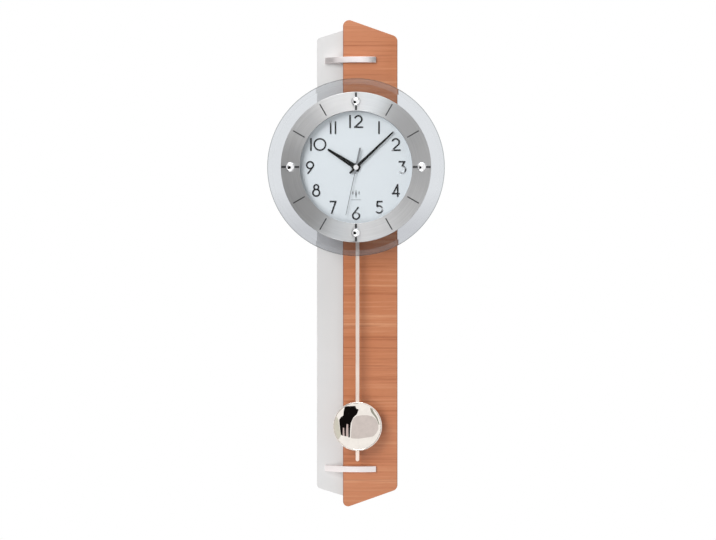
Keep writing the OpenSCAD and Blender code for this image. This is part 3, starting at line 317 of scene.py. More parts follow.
@dataclass(frozen=True)
class CherryVeneer(Finish):
    """Lacquered cherry veneer whose grain runs along X, with darker cut side faces and a painted shade line
    on the front face along each side.
    """

    dark: Colour = (0.41, 0.125, 0.045)
    pale: Colour = (0.70, 0.325, 0.170)
    line: Colour = (0.27, 0.075, 0.028)
    # edge is the tone of the cut side faces, and also of the painted shade line along the sides
    edge: Colour = (0.20, 0.07, 0.035)
    middle: float = 0.0
    half: float = 0.05
    drift_scale: Point = (4.0, 4.0, 9.0)
    drift: float = 0.005
    streak_scale: Point = (5.0, 30.0, 260.0)
    streak_share: float = 0.62
    wide_scale: Point = (1.6, 4.0, 26.0)
    growth_scale: Pair = (2.2, 95.0)
    growth_line: Four = (0.60, 0.62, 0.625, 0.645)
    growth_share: float = 0.30
    pore_scale: Point = (95.0, 95.0, 2100.0)
    pore_window: Pair = (0.60, 0.70)
    pore_share: float = 0.32
    pore_depth: float = 0.00003
    streak_depth: float = 0.00006
    # where the painted shade line along the sides lies, inward from each side
    arris_shade_band: Pair = (1.3 * MM, 0.5 * MM)
    arris_shade_share: float = 0.6
    side_facing: Pair = (0.75, 0.25)
    side_share: float = 0.75

    def lay(self, s: Sheet) -> None:
        """Lays streaks, growth lines, pores, the darker side faces and the painted shade line along the
        sides.

        Args:
            s: The sheet.
        """
        wander = s.noise(detail=2.0, at=s.scaled(self.drift_scale))
        x, y, z = s.split(s.place())
        bent = s.plus(z, s.times(s.minus(wander, 0.5), self.drift))
        flow = s.join(*(s.times(part, scale) for part, scale in zip((x, y, bent), self.streak_scale)))
        streaks = s.noise(detail=6.0, rough=0.68, twist=0.12, at=flow)
        wide = s.noise(detail=2.0, at=s.scaled(self.wide_scale))
        tone = s.mean(streaks, wide, self.streak_share)
        wood = s.ramp(tone, [(0.36, self.dark), (0.47, self.colour), (0.53, self.colour), (0.64, self.pale)])
        rings = s.join(s.times(x, self.growth_scale[0]), 0.0, s.times(bent, self.growth_scale[1]))
        growth = s.noise(detail=2.0, rough=0.45, twist=0.3, at=rings)
        rise, top, fall, end = self.growth_line
        lines = s.times(s.span(growth, rise, top), s.span(growth, end, fall))
        wood = s.blend(s.times(lines, self.growth_share), wood, self.line)
        pores = s.span(s.noise(detail=2.0, at=s.scaled(self.pore_scale)), *self.pore_window)
        wood = s.blend(s.times(pores, self.pore_share), wood, self.dark)
        # painted shade: a dark line on the front face close to each side
        out = s.maths("ABSOLUTE", s.minus(x, self.middle))
        arris_shade_mask = s.span(out, self.half - self.arris_shade_band[0], self.half - self.arris_shade_band[1])
        wood = s.blend(s.times(arris_shade_mask, self.arris_shade_share), wood, self.edge)
        facing = s.maths("ABSOLUTE", s.split(s.node("NewGeometry").outputs["True Normal"])[1])
        wood = s.blend(s.times(s.span(facing, *self.side_facing), self.side_share), wood, self.edge)
        fine = s.relief(pores, self.pore_depth)
        normal = s.relief(streaks, self.streak_depth, 0.35, fine)
        s.surface(wood, self.dulled(s, streaks, -0.05, -0.04), normal, Coat_Weight=0.18, Coat_Roughness=0.22)


@dataclass(frozen=True)
class BrushedMetal(Finish):
    """Metal with straight fine brushing, and faint stains."""

    along: Along = Along.X
    lines: float = 3200.0
    depth: float = 0.000012
    contrast: float = 0.10
    metal: float = 1.0
    length_scale: float = 18.0
    stain_scale: float = 45.0
    line_share: float = 0.7

    def lay(self, s: Sheet) -> None:
        """Lays hairlines and stains.

        Args:
            s: The sheet.
        """
        scale = tuple(self.length_scale if part else self.lines for part in self.along.value)
        hairs = s.noise(rough=0.6, at=s.scaled(scale))
        tone = s.mean(hairs, s.noise(self.stain_scale), self.line_share)
        s.surface(self.mottled(s, tone, self.contrast), self.dulled(s, tone, 0.06, 0.06, HALF),
                  s.relief(hairs, self.depth), Metallic=self.metal)


@dataclass(frozen=True)
class SpunMetal(Finish):
    """Metal turned or brushed in circles about an axis along Y, with a fan of light and painted bluish
    reflection streaks along the radius.
    """

    centre: Pair = (0.0, HANDS_Z)
    fan: float = 0.75
    pitch: float = 1400.0
    depth: float = 0.000006
    contrast: float = 0.10
    groove_share: float = 0.75
    cloud_scale: float = 30.0
    # share of the painted bluish reflection streaks; nought leaves them out
    painted_streaks: float = 0.0
    painted_streak_count: float = 5.0
    painted_streak_colour: Colour = (0.80, 0.84, 0.92)
    metal: float = 1.0
    quarter_turn: float = 0.25

    def lay(self, s: Sheet) -> None:
        """Lays circular grooves, clouds and painted bluish reflection streaks along the radius.

        Args:
            s: The sheet.
        """
        x, _, z = s.split(s.place())
        angle = s.maths("ARCTAN2", s.minus(z, self.centre[1]), s.minus(x, self.centre[0]))
        sine, cosine = s.maths("SINE", angle), s.maths("COSINE", angle)
        grooves = s.noise(rough=0.65, at=s.join(s.times(s.radius(self.centre), self.pitch), sine, cosine))
        tone = s.mean(grooves, s.noise(self.cloud_scale, detail=2.0), self.groove_share)
        # painted reflection: bluish radial streaks multiplied into the colour
        turn = s.join(s.times(sine, self.painted_streak_count), s.times(cosine, self.painted_streak_count), 0.0)
        painted_streak_share = s.span(s.noise(rough=0.6, at=turn), *HALF, 0.0, self.painted_streaks)
        colour = s.blend(painted_streak_share, self.mottled(s, tone, self.contrast), self.painted_streak_colour, "MULTIPLY")
        around = s.node("Tangent", direction_type="RADIAL", axis="Y").outputs["Tangent"]
        s.surface(colour, self.dulled(s, grooves), s.relief(grooves, self.depth, strength=0.3),
                  Metallic=self.metal, Anisotropic=self.fan, Anisotropic_Rotation=self.quarter_turn,
                  Tangent=around)


@dataclass(frozen=True)
class MirrorMetal(Finish):
    """Polished metal with a film of dust and hairline scratches."""

    haze: float = 0.05
    waviness: float = 0.00002
    film_scale: float = 120.0
    film_window: Pair = (0.4, 0.75)
    film_tone: float = 0.93
    hair_scale: Point = (900.0, 900.0, 60.0)
    hair_slant: float = 0.7
    hair_window: Pair = (0.66, 0.74)
    hair_rough: float = 0.05
    swell_scale: float = 35.0

    def lay(self, s: Sheet) -> None:
        """Lays film, scratches and swell.

        Args:
            s: The sheet.
        """
        film = s.noise(self.film_scale, detail=4.0, rough=0.6)
        hairs = s.noise(detail=2.0, at=s.scaled(self.hair_scale, (0.0, self.hair_slant, 0.0)))
        rough = s.plus(s.span(film, *self.film_window, self.rough, self.rough + self.haze),
                       s.span(hairs, *self.hair_window, 0.0, self.hair_rough))
        colour = s.blend(s.span(film, 0.4, 0.7), self.colour, self.toned(self.film_tone))
        swell = s.noise(self.swell_scale, detail=1.0)
        s.surface(colour, rough, s.relief(swell, self.waviness), Metallic=1.0)


@dataclass(frozen=True)
class DarkPlate(Finish):
    """Dark polished plating of the numerals, with pale painted reflections in spots that grow more frequent
    towards +X.
    """

    # bright is the colour of the painted reflections
    bright: Colour = (0.62, 0.64, 0.66)
    reflection_window: Pair = (0.57, 0.66)
    reflection_scale: float = 60.0
    # drift makes the painted reflections more frequent towards +X
    drift: float = 0.9
    grain_scale: float = 700.0
    grain_depth: float = 0.00001
    metal: float = 0.85

    def lay(self, s: Sheet) -> None:
        """Lays pale painted reflections in spots, and a fine grain.

        Args:
            s: The sheet.
        """
        reflection_patches = s.noise(self.reflection_scale, detail=2.0, twist=0.4)
        grain = s.noise(self.grain_scale)
        # painted reflection: pale spots mixed into the colour, more of them towards +X
        painted_reflection_mask = s.plus(reflection_patches, s.times(s.split(s.place())[0], self.drift))
        colour = s.blend(s.span(painted_reflection_mask, *self.reflection_window), self.colour, self.bright)
        s.surface(colour, self.dulled(s, grain, 0.04), s.relief(grain, self.grain_depth, strength=0.4),
                  Metallic=self.metal)


@dataclass(frozen=True)
class Moulded(Finish):
    """Moulded plastic: a fine spark-eroded grain, flow marks and duller rubbed places."""

    grain_scale: float = 1500.0
    depth: float = 0.00002
    mottle: float = 0.12
    flow_scale: float = 55.0

    def lay(self, s: Sheet) -> None:
        """Lays grain and flow marks.

        Args:
            s: The sheet.
        """
        pits = s.noise(self.grain_scale, rough=0.55)
        flow = s.noise(self.flow_scale, twist=0.8)
        s.surface(self.mottled(s, flow, self.mottle), self.dulled(s, flow, 0.06, 0.06, HALF),
                  s.relief(pits, self.depth, strength=0.6))


@dataclass(frozen=True)
class Fibres(Finish):
    """Felt or rubber: crossing fibres or a coarse matt bloom."""

    across: float = 1800.0
    fuzz: float = 0.35
    lengthwise: float = 240.0
    slants: Pair = (0.5, 0.9)
    tones: Pair = (0.6, 1.7)
    depth: float = 0.00012

    def lay(self, s: Sheet) -> None:
        """Lays two sets of fibres.

        Args:
            s: The sheet.
        """
        fine, long = self.across, self.lengthwise
        one = s.noise(at=s.scaled((fine, long, long), (0.0, self.slants[0], 0.0)))
        two = s.noise(at=s.scaled((long, long, fine), (0.0, self.slants[1], 0.0)))
        both = s.mean(one, two, 0.5)
        colour = s.ramp(both, [(0.38, self.toned(self.tones[0])), (0.6, self.toned(self.tones[1]))])
        s.surface(colour, self.rough, s.relief(both, self.depth, strength=0.7), Sheen_Weight=self.fuzz,
                  Sheen_Roughness=0.5)


@dataclass(frozen=True)
class DialCoat(Finish):
    """Matt print of the dial: a cool white with a very fine tooth."""

    tooth_scale: float = 2600.0
    tooth_tone: float = 0.985
    tooth_depth: float = 0.000012
    cloud_scale: float = 20.0
    cloud_tone: float = -0.012

    def lay(self, s: Sheet) -> None:
        """Lays tooth and clouds.

        Args:
            s: The sheet.
        """
        tooth = s.noise(self.tooth_scale, detail=2.0)
        cloud = s.noise(self.cloud_scale)
        shade = s.plus(s.span(tooth, *MOST, self.tooth_tone, 1.0),
                       s.span(cloud, *MOST, self.cloud_tone, 0.0))
        colour = s.blend(1.0, self.colour, shade, "MULTIPLY")
        s.surface(colour, self.dulled(s, cloud, 0.04, 0.04), s.relief(tooth, self.tooth_depth))


@dataclass(frozen=True)
class ClearPane(Finish):
    """Float glass: clear over the dial, tinted outside the ring with a painted shade that deepens towards
    the bottom, with a painted pale sheen on the bevel, dark at its rim.
    """

    inside: Colour = (0.97, 0.975, 0.98)
    rim: Colour = (0.42, 0.44, 0.45)
    # dust colour, which also paints the pale sheen on the bevel
    dust: Colour = (0.80, 0.82, 0.83)
    dust_rough: float = 0.6
    smear: Colour = (0.985, 0.985, 0.985)
    smear_scale: float = 28.0
    dust_spread: Pair = (0.7, 1.2)
    gloss: float = 0.5
    bend: float = 1.2
    haze: float = 0.003
    bevel_painted_sheen: float = 0.055
    # outside the ring, a painted shade that deepens between these heights below the hands' axis
    painted_shade_from: float = 0.030
    painted_shade_to: float = 0.085
    painted_shade_tint: Colour = (0.78, 0.775, 0.785)
    dial_r: float = 0.0770
    bevel_r: float = 0.1130
    rim_r: float = 0.1192
    shade_inside: Colour = (0.95, 0.955, 0.96)
    shade_outside: Colour = (0.98, 0.985, 0.99)

    def lay(self, s: Sheet) -> None:
        """Lays tints with a painted shade towards the bottom, glass, dust and a painted pale sheen on the
        bevel, and lets light through to what is behind.

        Args:
            s: The sheet.
        """
        smears = s.noise(self.smear_scale, detail=4.0, rough=0.6)
        radius = s.radius((0.0, HANDS_Z))
        outside = s.span(radius, self.dial_r, self.dial_r + MM)
        bevel = s.span(radius, self.bevel_r - MM, self.bevel_r)
        tint = s.blend(outside, self.inside, self.colour)
        tint = s.blend(s.span(radius, self.rim_r - 0.5 * MM, self.rim_r), tint, self.rim)
        tint = s.blend(s.span(smears, 0.35, 0.7), tint, self.smear, "MULTIPLY")
        # painted shade: the tint outside the ring darkens towards the bottom
        low = s.span(s.split(s.place())[2], HANDS_Z - self.painted_shade_from, HANDS_Z - self.painted_shade_to)
        tint = s.blend(s.times(low, outside), tint, self.painted_shade_tint, "MULTIPLY")
        glass = s.surface(tint, self.rough, Transmission_Weight=1.0, IOR=self.bend,
                          Specular_IOR_Level=self.gloss)
        film = s.node("BsdfDiffuse", Color=self.dust, Roughness=self.dust_rough)
        # dust haze everywhere, plus a painted pale sheen on the bevel
        haze = s.plus(self.haze, s.times(bevel, self.bevel_painted_sheen))
        share = s.times(haze, s.span(smears, 0.3, 0.75, *self.dust_spread))
        pane = s.layer(share, glass, film.outputs["BSDF"])
        shade = s.blend(outside, self.shade_inside, self.shade_outside)
        for kind in (Ray.DIFFUSE, Ray.SHADOW):
            clear = s.node("BsdfTransparent", Color=shade)
            pane = s.layer(s.ray(kind), pane, clear.outputs["BSDF"])
        s.show(pane)


@dataclass(frozen=True)
class Lacquer(Finish):
    """Thin satin lacquer on a stamped blade or in print, with specks and worn places."""

    sheen: float = 0.3
    gloss: float = 0.5
    speck_scale: float = 1900.0
    speck_depth: float = 0.00001
    worn_scale: float = 160.0
    dark_tone: float = 0.8
    pale_tone: Pair = (1.35, 0.004)

    def lay(self, s: Sheet) -> None:
        """Lays specks and worn places.

        Args:
            s: The sheet.
        """
        speck = s.noise(self.speck_scale, rough=0.6)
        worn = s.noise(self.worn_scale)
        colour = s.ramp(worn, [(0.35, self.toned(self.dark_tone)), (0.7, self.toned(*self.pale_tone))])
        s.surface(colour, self.dulled(s, worn, 0.06, 0.08), s.relief(speck, self.speck_depth),
                  Coat_Weight=self.sheen, Coat_Roughness=0.2, Specular_IOR_Level=self.gloss)


@dataclass(frozen=True)
class Winding(Finish):
    """Enamelled wire in close turns."""

    along: Along = Along.X
    wire: float = 0.00018
    metal: float = 0.9
    turn_scale: float = 0.05
    waver: float = 0.6
    gap_tone: float = 0.35
    gap_rough: float = 0.2

    def lay(self, s: Sheet) -> None:
        """Lays the turns of wire.

        Args:
            s: The sheet.
        """
        turns = s.node("TexWave", Vector=s.place(), Scale=self.turn_scale / self.wire,
                       Distortion=self.waver, bands_direction=self.along.name).outputs["Fac"]
        colour = s.ramp(turns, [(0.1, self.toned(self.gap_tone)), (0.6, self.colour)])
        rough = s.span(turns, 0.0, 1.0, self.rough + self.gap_rough, self.rough)
        s.surface(colour, rough, s.relief(turns, self.wire / 2, strength=0.8), Metallic=self.metal)


@dataclass(frozen=True)
class CellJacket(Finish):
    """Shrunk sleeve of the cell: bare metal at the ends, a dark body and a coloured band."""

    band: Colour = (0.50, 0.33, 0.06)
    metal: Colour = (0.62, 0.62, 0.62)
    body_half: float = 0.0236
    band_from: float = 0.011
    print_scale: float = 300.0
    print_tone: float = 0.8
    swell_scale: float = 180.0
    swell_depth: float = 0.00008

    def lay(self, s: Sheet) -> None:
        """Lays body, band and bare ends.

        Args:
            s: The sheet.
        """
        x = s.split(s.place())[0]
        grain = s.noise(self.print_scale)
        body = s.blend(s.span(grain, *MOST), self.colour, self.toned(self.print_tone))
        banded = s.blend(s.maths("GREATER_THAN", x, self.band_from), body, self.band)
        bare = s.maths("GREATER_THAN", s.maths("ABSOLUTE", x), self.body_half)
        swell = s.noise(self.swell_scale, detail=2.0)
        s.surface(s.blend(bare, banded, self.metal), self.dulled(s, grain, 0.05, 0.07),
                  s.relief(swell, self.swell_depth, strength=0.4), Metallic=bare)


@dataclass(frozen=True)
class BoardLacquer(Finish):
    """Green solder mask with copper tracks under it."""

    track: Colour = (0.13, 0.42, 0.16)
    track_scale: float = 420.0
    track_window: Pair = (0.42, 0.5)
    track_depth: float = 0.00003
    grain_scale: float = 1500.0

    def lay(self, s: Sheet) -> None:
        """Lays tracks and grain.

        Args:
            s: The sheet.
        """
        cells = s.node("TexVoronoi", Vector=s.place(), Scale=self.track_scale, distance="MANHATTAN")
        edge = s.span(cells.outputs["Distance"], *self.track_window)
        grain = s.noise(self.grain_scale, detail=2.0)
        s.surface(s.blend(edge, self.colour, self.track), self.dulled(s, grain),
                  s.relief(edge, self.track_depth, strength=0.6))


class Finishes:
    """All finishes: one for each material slot of the record, the nut's and the ornament's."""

    def __init__(self) -> None:
        """Builds each finish once."""
        low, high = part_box("wood_panel")
        listed: dict[str, Finish] = {
            "white_paint": PaintedBoard((0.76, 0.757, 0.755), 0.48),
            "cherry_veneer": CherryVeneer((0.575, 0.212, 0.094), 0.40, middle=(low.x + high.x) / 2,
                                          half=(high.x - low.x) / 2),
            "zinc_steel": BrushedMetal((0.60, 0.60, 0.62), 0.34, Along.Z, 900.0, 0.00001, 0.08),
            "satin_aluminium": BrushedMetal((0.85, 0.79, 0.785), 0.34, contrast=0.06, metal=0.8),
            "case_aluminium": SpunMetal((0.60, 0.61, 0.62), 0.42, fan=0.4),
            "black_felt": Fibres((0.018, 0.018, 0.02), 0.95),
            "black_rubber": Fibres((0.02, 0.02, 0.02), 0.75, across=700.0, fuzz=0.05),
            "dial_white": DialCoat((0.845, 0.895, 0.925), 0.62),
            "spacer_plastic": Moulded((0.33, 0.34, 0.36), 0.50),
            "clear_glass": ClearPane((0.73, 0.755, 0.785), 0.0),
            "nylon": Moulded((0.80, 0.80, 0.78), 0.45),
            "brushed_ring": SpunMetal((0.60, 0.60, 0.602), 0.46, fan=0.95, painted_streaks=0.12, metal=0.85),
            "black_paint": Lacquer((0.03, 0.03, 0.032), 0.45),
            "polished_chrome": MirrorMetal((0.90, 0.90, 0.91), 0.03),
            "polished_numeral": DarkPlate((0.022, 0.023, 0.026), 0.22),
            "black_plastic": Moulded((0.022, 0.022, 0.024), 0.55),
            "brass": BrushedMetal((0.72, 0.50, 0.20), 0.28, lines=1400.0),
            "blackened_nut": BrushedMetal((0.02, 0.019, 0.018), 0.45, lines=1400.0, metal=0.6),
            "battery_jacket": CellJacket((0.05, 0.055, 0.065), 0.32),
            "board_green": BoardLacquer((0.02, 0.16, 0.05), 0.35),
            "ferrite": Moulded((0.045, 0.04, 0.038), 0.70),
            "copper_wire": Winding((0.72, 0.33, 0.13), 0.30),
            "stator_steel": BrushedMetal((0.48, 0.48, 0.50), 0.36, lines=1200.0),
            "magnet_grey": BrushedMetal((0.52, 0.53, 0.55), 0.25, Along.Y, 1500.0),
            "gear_plastic": Moulded((0.74, 0.73, 0.68), 0.38),
            "black_hand": Lacquer((0.002, 0.002, 0.002), 0.5, sheen=0.0, gloss=0.04),
            "grey_hand": Lacquer((0.20, 0.21, 0.225), 0.34),
            "rod_silver": BrushedMetal((0.93, 0.79, 0.70), 0.36, Along.Z, contrast=0.05, metal=0.4),
            "bob_chrome": MirrorMetal((0.96, 0.90, 0.835), 0.015, haze=0.02),
            "red_plastic": Moulded((0.55, 0.03, 0.025), 0.35),
            "dial_print": Lacquer((0.13, 0.14, 0.15), 0.5, sheen=0.1),
        }
        self.made = {slot: finish.make(f"{slot}_finish") for slot, finish in listed.items()}
        LOG.info("finishes %s", ", ".join(self.made))

    def give(self, piece: Piece, slot: str) -> None:
        """Dresses a whole piece in the finish of one slot.

        Args:
            piece: The object.
            slot: The slot's name.
        """
        if not piece.material_slots:
            piece.data.materials.append(self.made[slot])
        for held in piece.material_slots:
            held.material = self.made[slot]


class Mesh:
    """Mesh code shared by the sub-assemblies."""

    weld: float = 0.000004
    flat: float = math.radians(0.6)
    sharp: float = math.radians(32.0)
    normal_weight: int = 60

    @staticmethod
    def add(name: str, data: object) -> Piece:
        """Adds an object with its data to the scene."""
        bpy.context.scene.collection.objects.link(made := bpy.data.objects.new(name, data))
        return made

    @classmethod
    def piece(cls, name: str, form: Form) -> Piece:
        """Turns a form into an object of the scene.

        Args:
            name: The piece's name.
            form: The form, which is freed.

        Returns:
            The object.
        """
        mesh = bpy.data.meshes.new(name)
        bmesh.ops.recalc_face_normals(form, faces=form.faces)
        form.to_mesh(mesh)
        form.free()
        return cls.add(name, mesh)

    @staticmethod
    def loft(form: Form, layers: list[list[Point]]) -> None:
        """Adds a solid that runs through outlines and is closed at both ends.

        Args:
            form: The form to add to.
            layers: The corners of each outline, as many in each.
        """
        rings = [[form.verts.new(corner) for corner in layer] for layer in layers]
        for here, there in zip(rings, rings[1:]):
            for corners in zip(here, here[1:] + here[:1], there[1:] + there[:1], there):
                form.faces.new(corners)
        form.faces.new(rings[0][::-1])
        form.faces.new(rings[-1])

    @classmethod
    def ease(cls, node: Piece, width: float, steps: int) -> None:
        """Rounds a solid's sharp edges by modifiers.

        Args:
            node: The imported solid.
            width: Width of the rounding in metres.
            steps: Segments across it.
        """
        node.modifiers.new("weld", "WELD").merge_threshold = cls.weld
        plain = node.modifiers.new("plain", "DECIMATE")
        plain.decimate_type = "DISSOLVE"
        plain.angle_limit = cls.flat
        bevel = node.modifiers.new("ease", "BEVEL")
        bevel.width = width
        bevel.segments = steps
        bevel.limit_method = "ANGLE"
        bevel.angle_limit = cls.sharp
        bevel.miter_outer = "MITER_ARC"
        shade = node.modifiers.new("shade", "WEIGHTED_NORMAL")
        shade.mode = "FACE_AREA"
        shade.weight = cls.normal_weight


@dataclass
class SubAssembly:
    """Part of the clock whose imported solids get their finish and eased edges."""

    finishes: Finishes
    frame: dict

    def dress(self, names: list[str], width: float = 0.0, steps: int = 2) -> None:
        """Gives solids the finish of their slots, and eases their edges.

        Args:
            names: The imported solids.
            width: Width of the rounding in metres, or nought for none.
            steps: Segments across it.
        """
        slots = {row["node"]: row["material_slot"] for row in self.frame["record"]["subparts"]}
        for name in names:
            node = self.frame["nodes"][name]
            self.finishes.give(node, slots[name])
            if width:
                Mesh.ease(node, width, steps)
            LOG.info("dressed %s", name)


@dataclass
class Panels(SubAssembly):
    """The painted panel, the wooden panel in front of it, and the two curved bars."""

    panel_ease: float = 0.0008
    bar_ease: float = 0.0004

    def build(self) -> None:
        """Dresses the panels and bars."""
        self.dress(["back_panel", "wood_panel"], self.panel_ease, 3)
        self.dress(["upper_bar", "lower_bar"], self.bar_ease)


@dataclass
class DialHead(SubAssembly):
    """Case, dial, glass, ring, marks, studs and numerals, and the ornament printed on the dial.

    The ornament's sizes are in millimetres from the axis of the hands: X, Z, half width and half
    height of each lozenge, and the left, lower, right and upper edge of the line.
    """

    case_ease: float = 0.0003
    ring_ease: float = 0.0004
    numeral_ease: float = 0.00025
    lozenges: tuple[Four, ...] = (
        (0.0, -36.0, 1.2, 6.4), (-4.2, -34.4, 0.85, 3.2), (4.2, -34.4, 0.85, 3.2))
    underline: Four = (-6.5, -44.2, 6.5, -43.6)
    print_sunk: float = 0.00005
    print_proud: float = 0.00008

    def build(self) -> None:
        """Dresses the head and prints the ornament."""
        self.dress(["dial_case"], self.case_ease)
        self.dress(["dial_plate", "spacer_ring", "glass_gasket", "glass_sleeves", "glass_disc"])
        self.dress(["trim_ring"], self.ring_ease)
        self.dress(["hour_marks", "dome_studs"])
        self.dress([f"numeral_{hour}" for hour in range(1, 13)], self.numeral_ease)
        self.print_sign()

    def print_sign(self) -> None:
        """Prints a slim lozenge between two small ones, over a thin line."""
        left, low, right, high = self.underline
        shapes = [((x - w, z), (x, z - h), (x + w, z), (x, z + h)) for x, z, w, h in self.lozenges]
        shapes.append(((left, low), (right, low), (right, high), (left, high)))
        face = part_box("dial_plate")[0].y
        form = bmesh.new()
        for shape in shapes:
            Mesh.loft(form, [[(x * MM, y, HANDS_Z + z * MM) for x, z in shape]
                             for y in (face + self.print_sunk, face - self.print_proud)])
        sign = Mesh.piece("dial_sign", form)
        self.finishes.give(sign, "dial_print")
        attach(sign, "frame")
        LOG.info("added dial_sign on frame")


@dataclass
class Hands(SubAssembly):
    """Hour, minute and second hands, and the cap over their middle."""

    blade_ease: float = 0.00012

    def build(self) -> None:
        """Dresses the hands."""
        self.dress(["hour_hand", "minute_hand", "second_hand"], self.blade_ease)
        self.dress(["second_cap"])


@dataclass
class Pendulum(SubAssembly):
    """Lever, magnet, rod and bob."""

    lever_ease: float = 0.0003
    magnet_ease: float = 0.0002
    rod_ease: float = 0.0005

    def build(self) -> None:
        """Dresses the pendulum."""
        self.dress(["pendulum_lever"], self.lever_ease)
        self.dress(["drive_magnet"], self.magnet_ease)
        self.dress(["pendulum_rod"], self.rod_ease)
        self.dress(["bob_shell", "bob_back"])


@dataclass
class Movement(SubAssembly):
    """Quartz movement: housing, cell, circuit board, motors, wheels and buttons."""

    shell_ease: float = 0.0004
    nut_ease: float = 0.0001
    cell_ease: float = 0.0005
    button_ease: float = 0.0002

    def build(self) -> None:
        """Dresses the movement. Its nut is blackened, unlike other brass."""
        self.dress(["movement_housing", "movement_cover"], self.shell_ease)
        self.dress(["rubber_washer", "bushing_nut"], self.nut_ease)
        self.finishes.give(self.frame["nodes"]["bushing_nut"], "blackened_nut")
        self.dress(["battery"], self.cell_ease)
        self.dress(["battery_contacts", "circuit_board", "antenna_rod", "drive_coil", "motor_coils",
                    "motor_stators", "minute_rotor", "second_rotor", "cannon_pinion", "motion_wheel",
                    "hour_wheel", "second_arbor"])
        self.dress(["set_button", "reset_button"], self.button_ease)


@dataclass
class Fixings(SubAssembly):
    """Posts, screws, hanger plate and pads. The recess's sizes are in parts of the head's radius."""

    post_ease: float = 0.0004
    plate_ease: float = 0.0002
    pad_ease: float = 0.0003
    head_ease: float = 0.00015
    slot_half: float = 0.58
    slot_width: float = 0.17
    slot_depth: float = 0.0008
    slot_taper: float = 0.6
    turn_step: float = 0.7
    behind: float = -0.03

    def build(self) -> None:
        """Dresses the fixings and cuts the screws' recesses."""
        self.dress(["case_posts"], self.post_ease)
        self.dress(["hanger_plate"], self.plate_ease)
        self.dress(["wall_pads"], self.pad_ease)
        for name in ("panel_screws", "bar_screws", "hanger_screws", "post_screws"):
            self.dress([name], self.head_ease)
            self.recess(self.frame["nodes"][name])

    @staticmethod
    def heads(node: Piece) -> list[tuple[Vector, float]]:
        """Finds the screws of a node.

        Args:
            node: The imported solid.

        Returns:
            Middle of each head's face and its radius.
        """
        form = bmesh.new()
        form.from_mesh(node.data)
        bmesh.ops.remove_doubles(form, verts=form.verts, dist=Mesh.weld)
        left = set(form.verts)
        found = []
        while left:
            queue, spots = [left.pop()], []
            while queue:
                vert = queue.pop()
                spots.append(vert.co)
                joined = {link.other_vert(vert) for link in vert.link_edges} & left
                left -= joined
                queue += joined
            low, high = (Vector([pick(part) for part in zip(*spots)]) for pick in (min, max))
            middle = (low + high) / 2
            found.append((Vector((middle.x, high.y, middle.z)), (high.x - low.x) / 2))
        form.free()
        return sorted(found, key=lambda head: (round(head[0].x, 5), round(head[0].z, 5)))

    def recess(self, node: Piece) -> None:
        """Cuts a cross recess into each head that faces the wall, by a modifier and a hidden cutter.

        Args:
            node: The screws.
        """
        form = bmesh.new()
        for count, (middle, radius) in enumerate(self.heads(node)):
            if middle.y < self.behind:
                continue
            reach, half = self.slot_half * radius, self.slot_width * radius
            quarter = [(reach, -half), (reach, half), (half, half)]
            plan = []
            for _ in range(4):
                plan += quarter
                quarter = [(-b, a) for a, b in quarter]
            sine, cosine = math.sin(self.turn_step * count), math.cos(self.turn_step * count)
            Mesh.loft(form, [[(middle.x + size * (a * cosine - b * sine), middle.y + rise,
                               middle.z + size * (a * sine + b * cosine)) for a, b in plan]
                             for size, rise in ((1.0, self.slot_depth), (1.0, 0.0),
                                                (self.slot_taper, -self.slot_depth))])
        cutter = Mesh.piece(f"{node.name}_cutter", form)
        cutter.hide_render = cutter.hide_viewport = True
        cut = node.modifiers.new("recess", "BOOLEAN")
        cut.object = cutter
        cut.operation = "DIFFERENCE"
        cut.solver = "EXACT"


@dataclass
class Card:
    """Flat studio card, upright and parallel to the wall, that only reflections see."""

    name: str
    colour: Colour
    depth: float
    outline: list[Pair]
    glow: float = 1.0

    def build(self) -> None:
        """Makes the card."""
        form = bmesh.new()
        form.faces.new([form.verts.new((x, -self.depth, z)) for x, z in self.outline])
        made = Mesh.piece(self.name, form)
        made.visible_camera = made.visible_diffuse = made.visible_shadow = False
        made.visible_transmission = False
        s = Sheet(self.name)
        s.show(s.node("Emission", Color=self.colour, Strength=self.glow).outputs[0])
        made.data.materials.append(s.owner)


@dataclass
class DomeMirror:
    """A polished dome, the bob's unless told otherwise, that tells where a card stands to be seen in it.

    It is a cap of a ball: the middle of its rim, and the radii of the ball and the rim.
    """

    eye: Point
    centre: Point = (0.002, -0.050, -0.473)
    ball: float = 0.0949
    rim: float = 0.0332

    def card(self, places: Outline, depth: float) -> list[Pair]:
        """Where a card's corners stand.

        Args:
            places: Places of the corners on the dome, in parts of its radius, X to the right and Z up.
            depth: The card's distance from the wall.

        Returns:
            X and Z of the corners.
        """
        corners = []
        slope = self.rim / self.ball
        for across, up in places:
            normal = Vector((across * slope, 0.0, up * slope))
            normal.y = -math.sqrt(1.0 - normal.length_squared)
            spot = Vector(self.centre) + self.rim * Vector((across, 0.0, up))
            ray = (spot - Vector(self.eye)).normalized().reflect(normal)
            reach = (-depth - spot.y) / ray.y
            corners.append((spot.x + reach * ray.x, spot.z + reach * ray.z))
        return corners


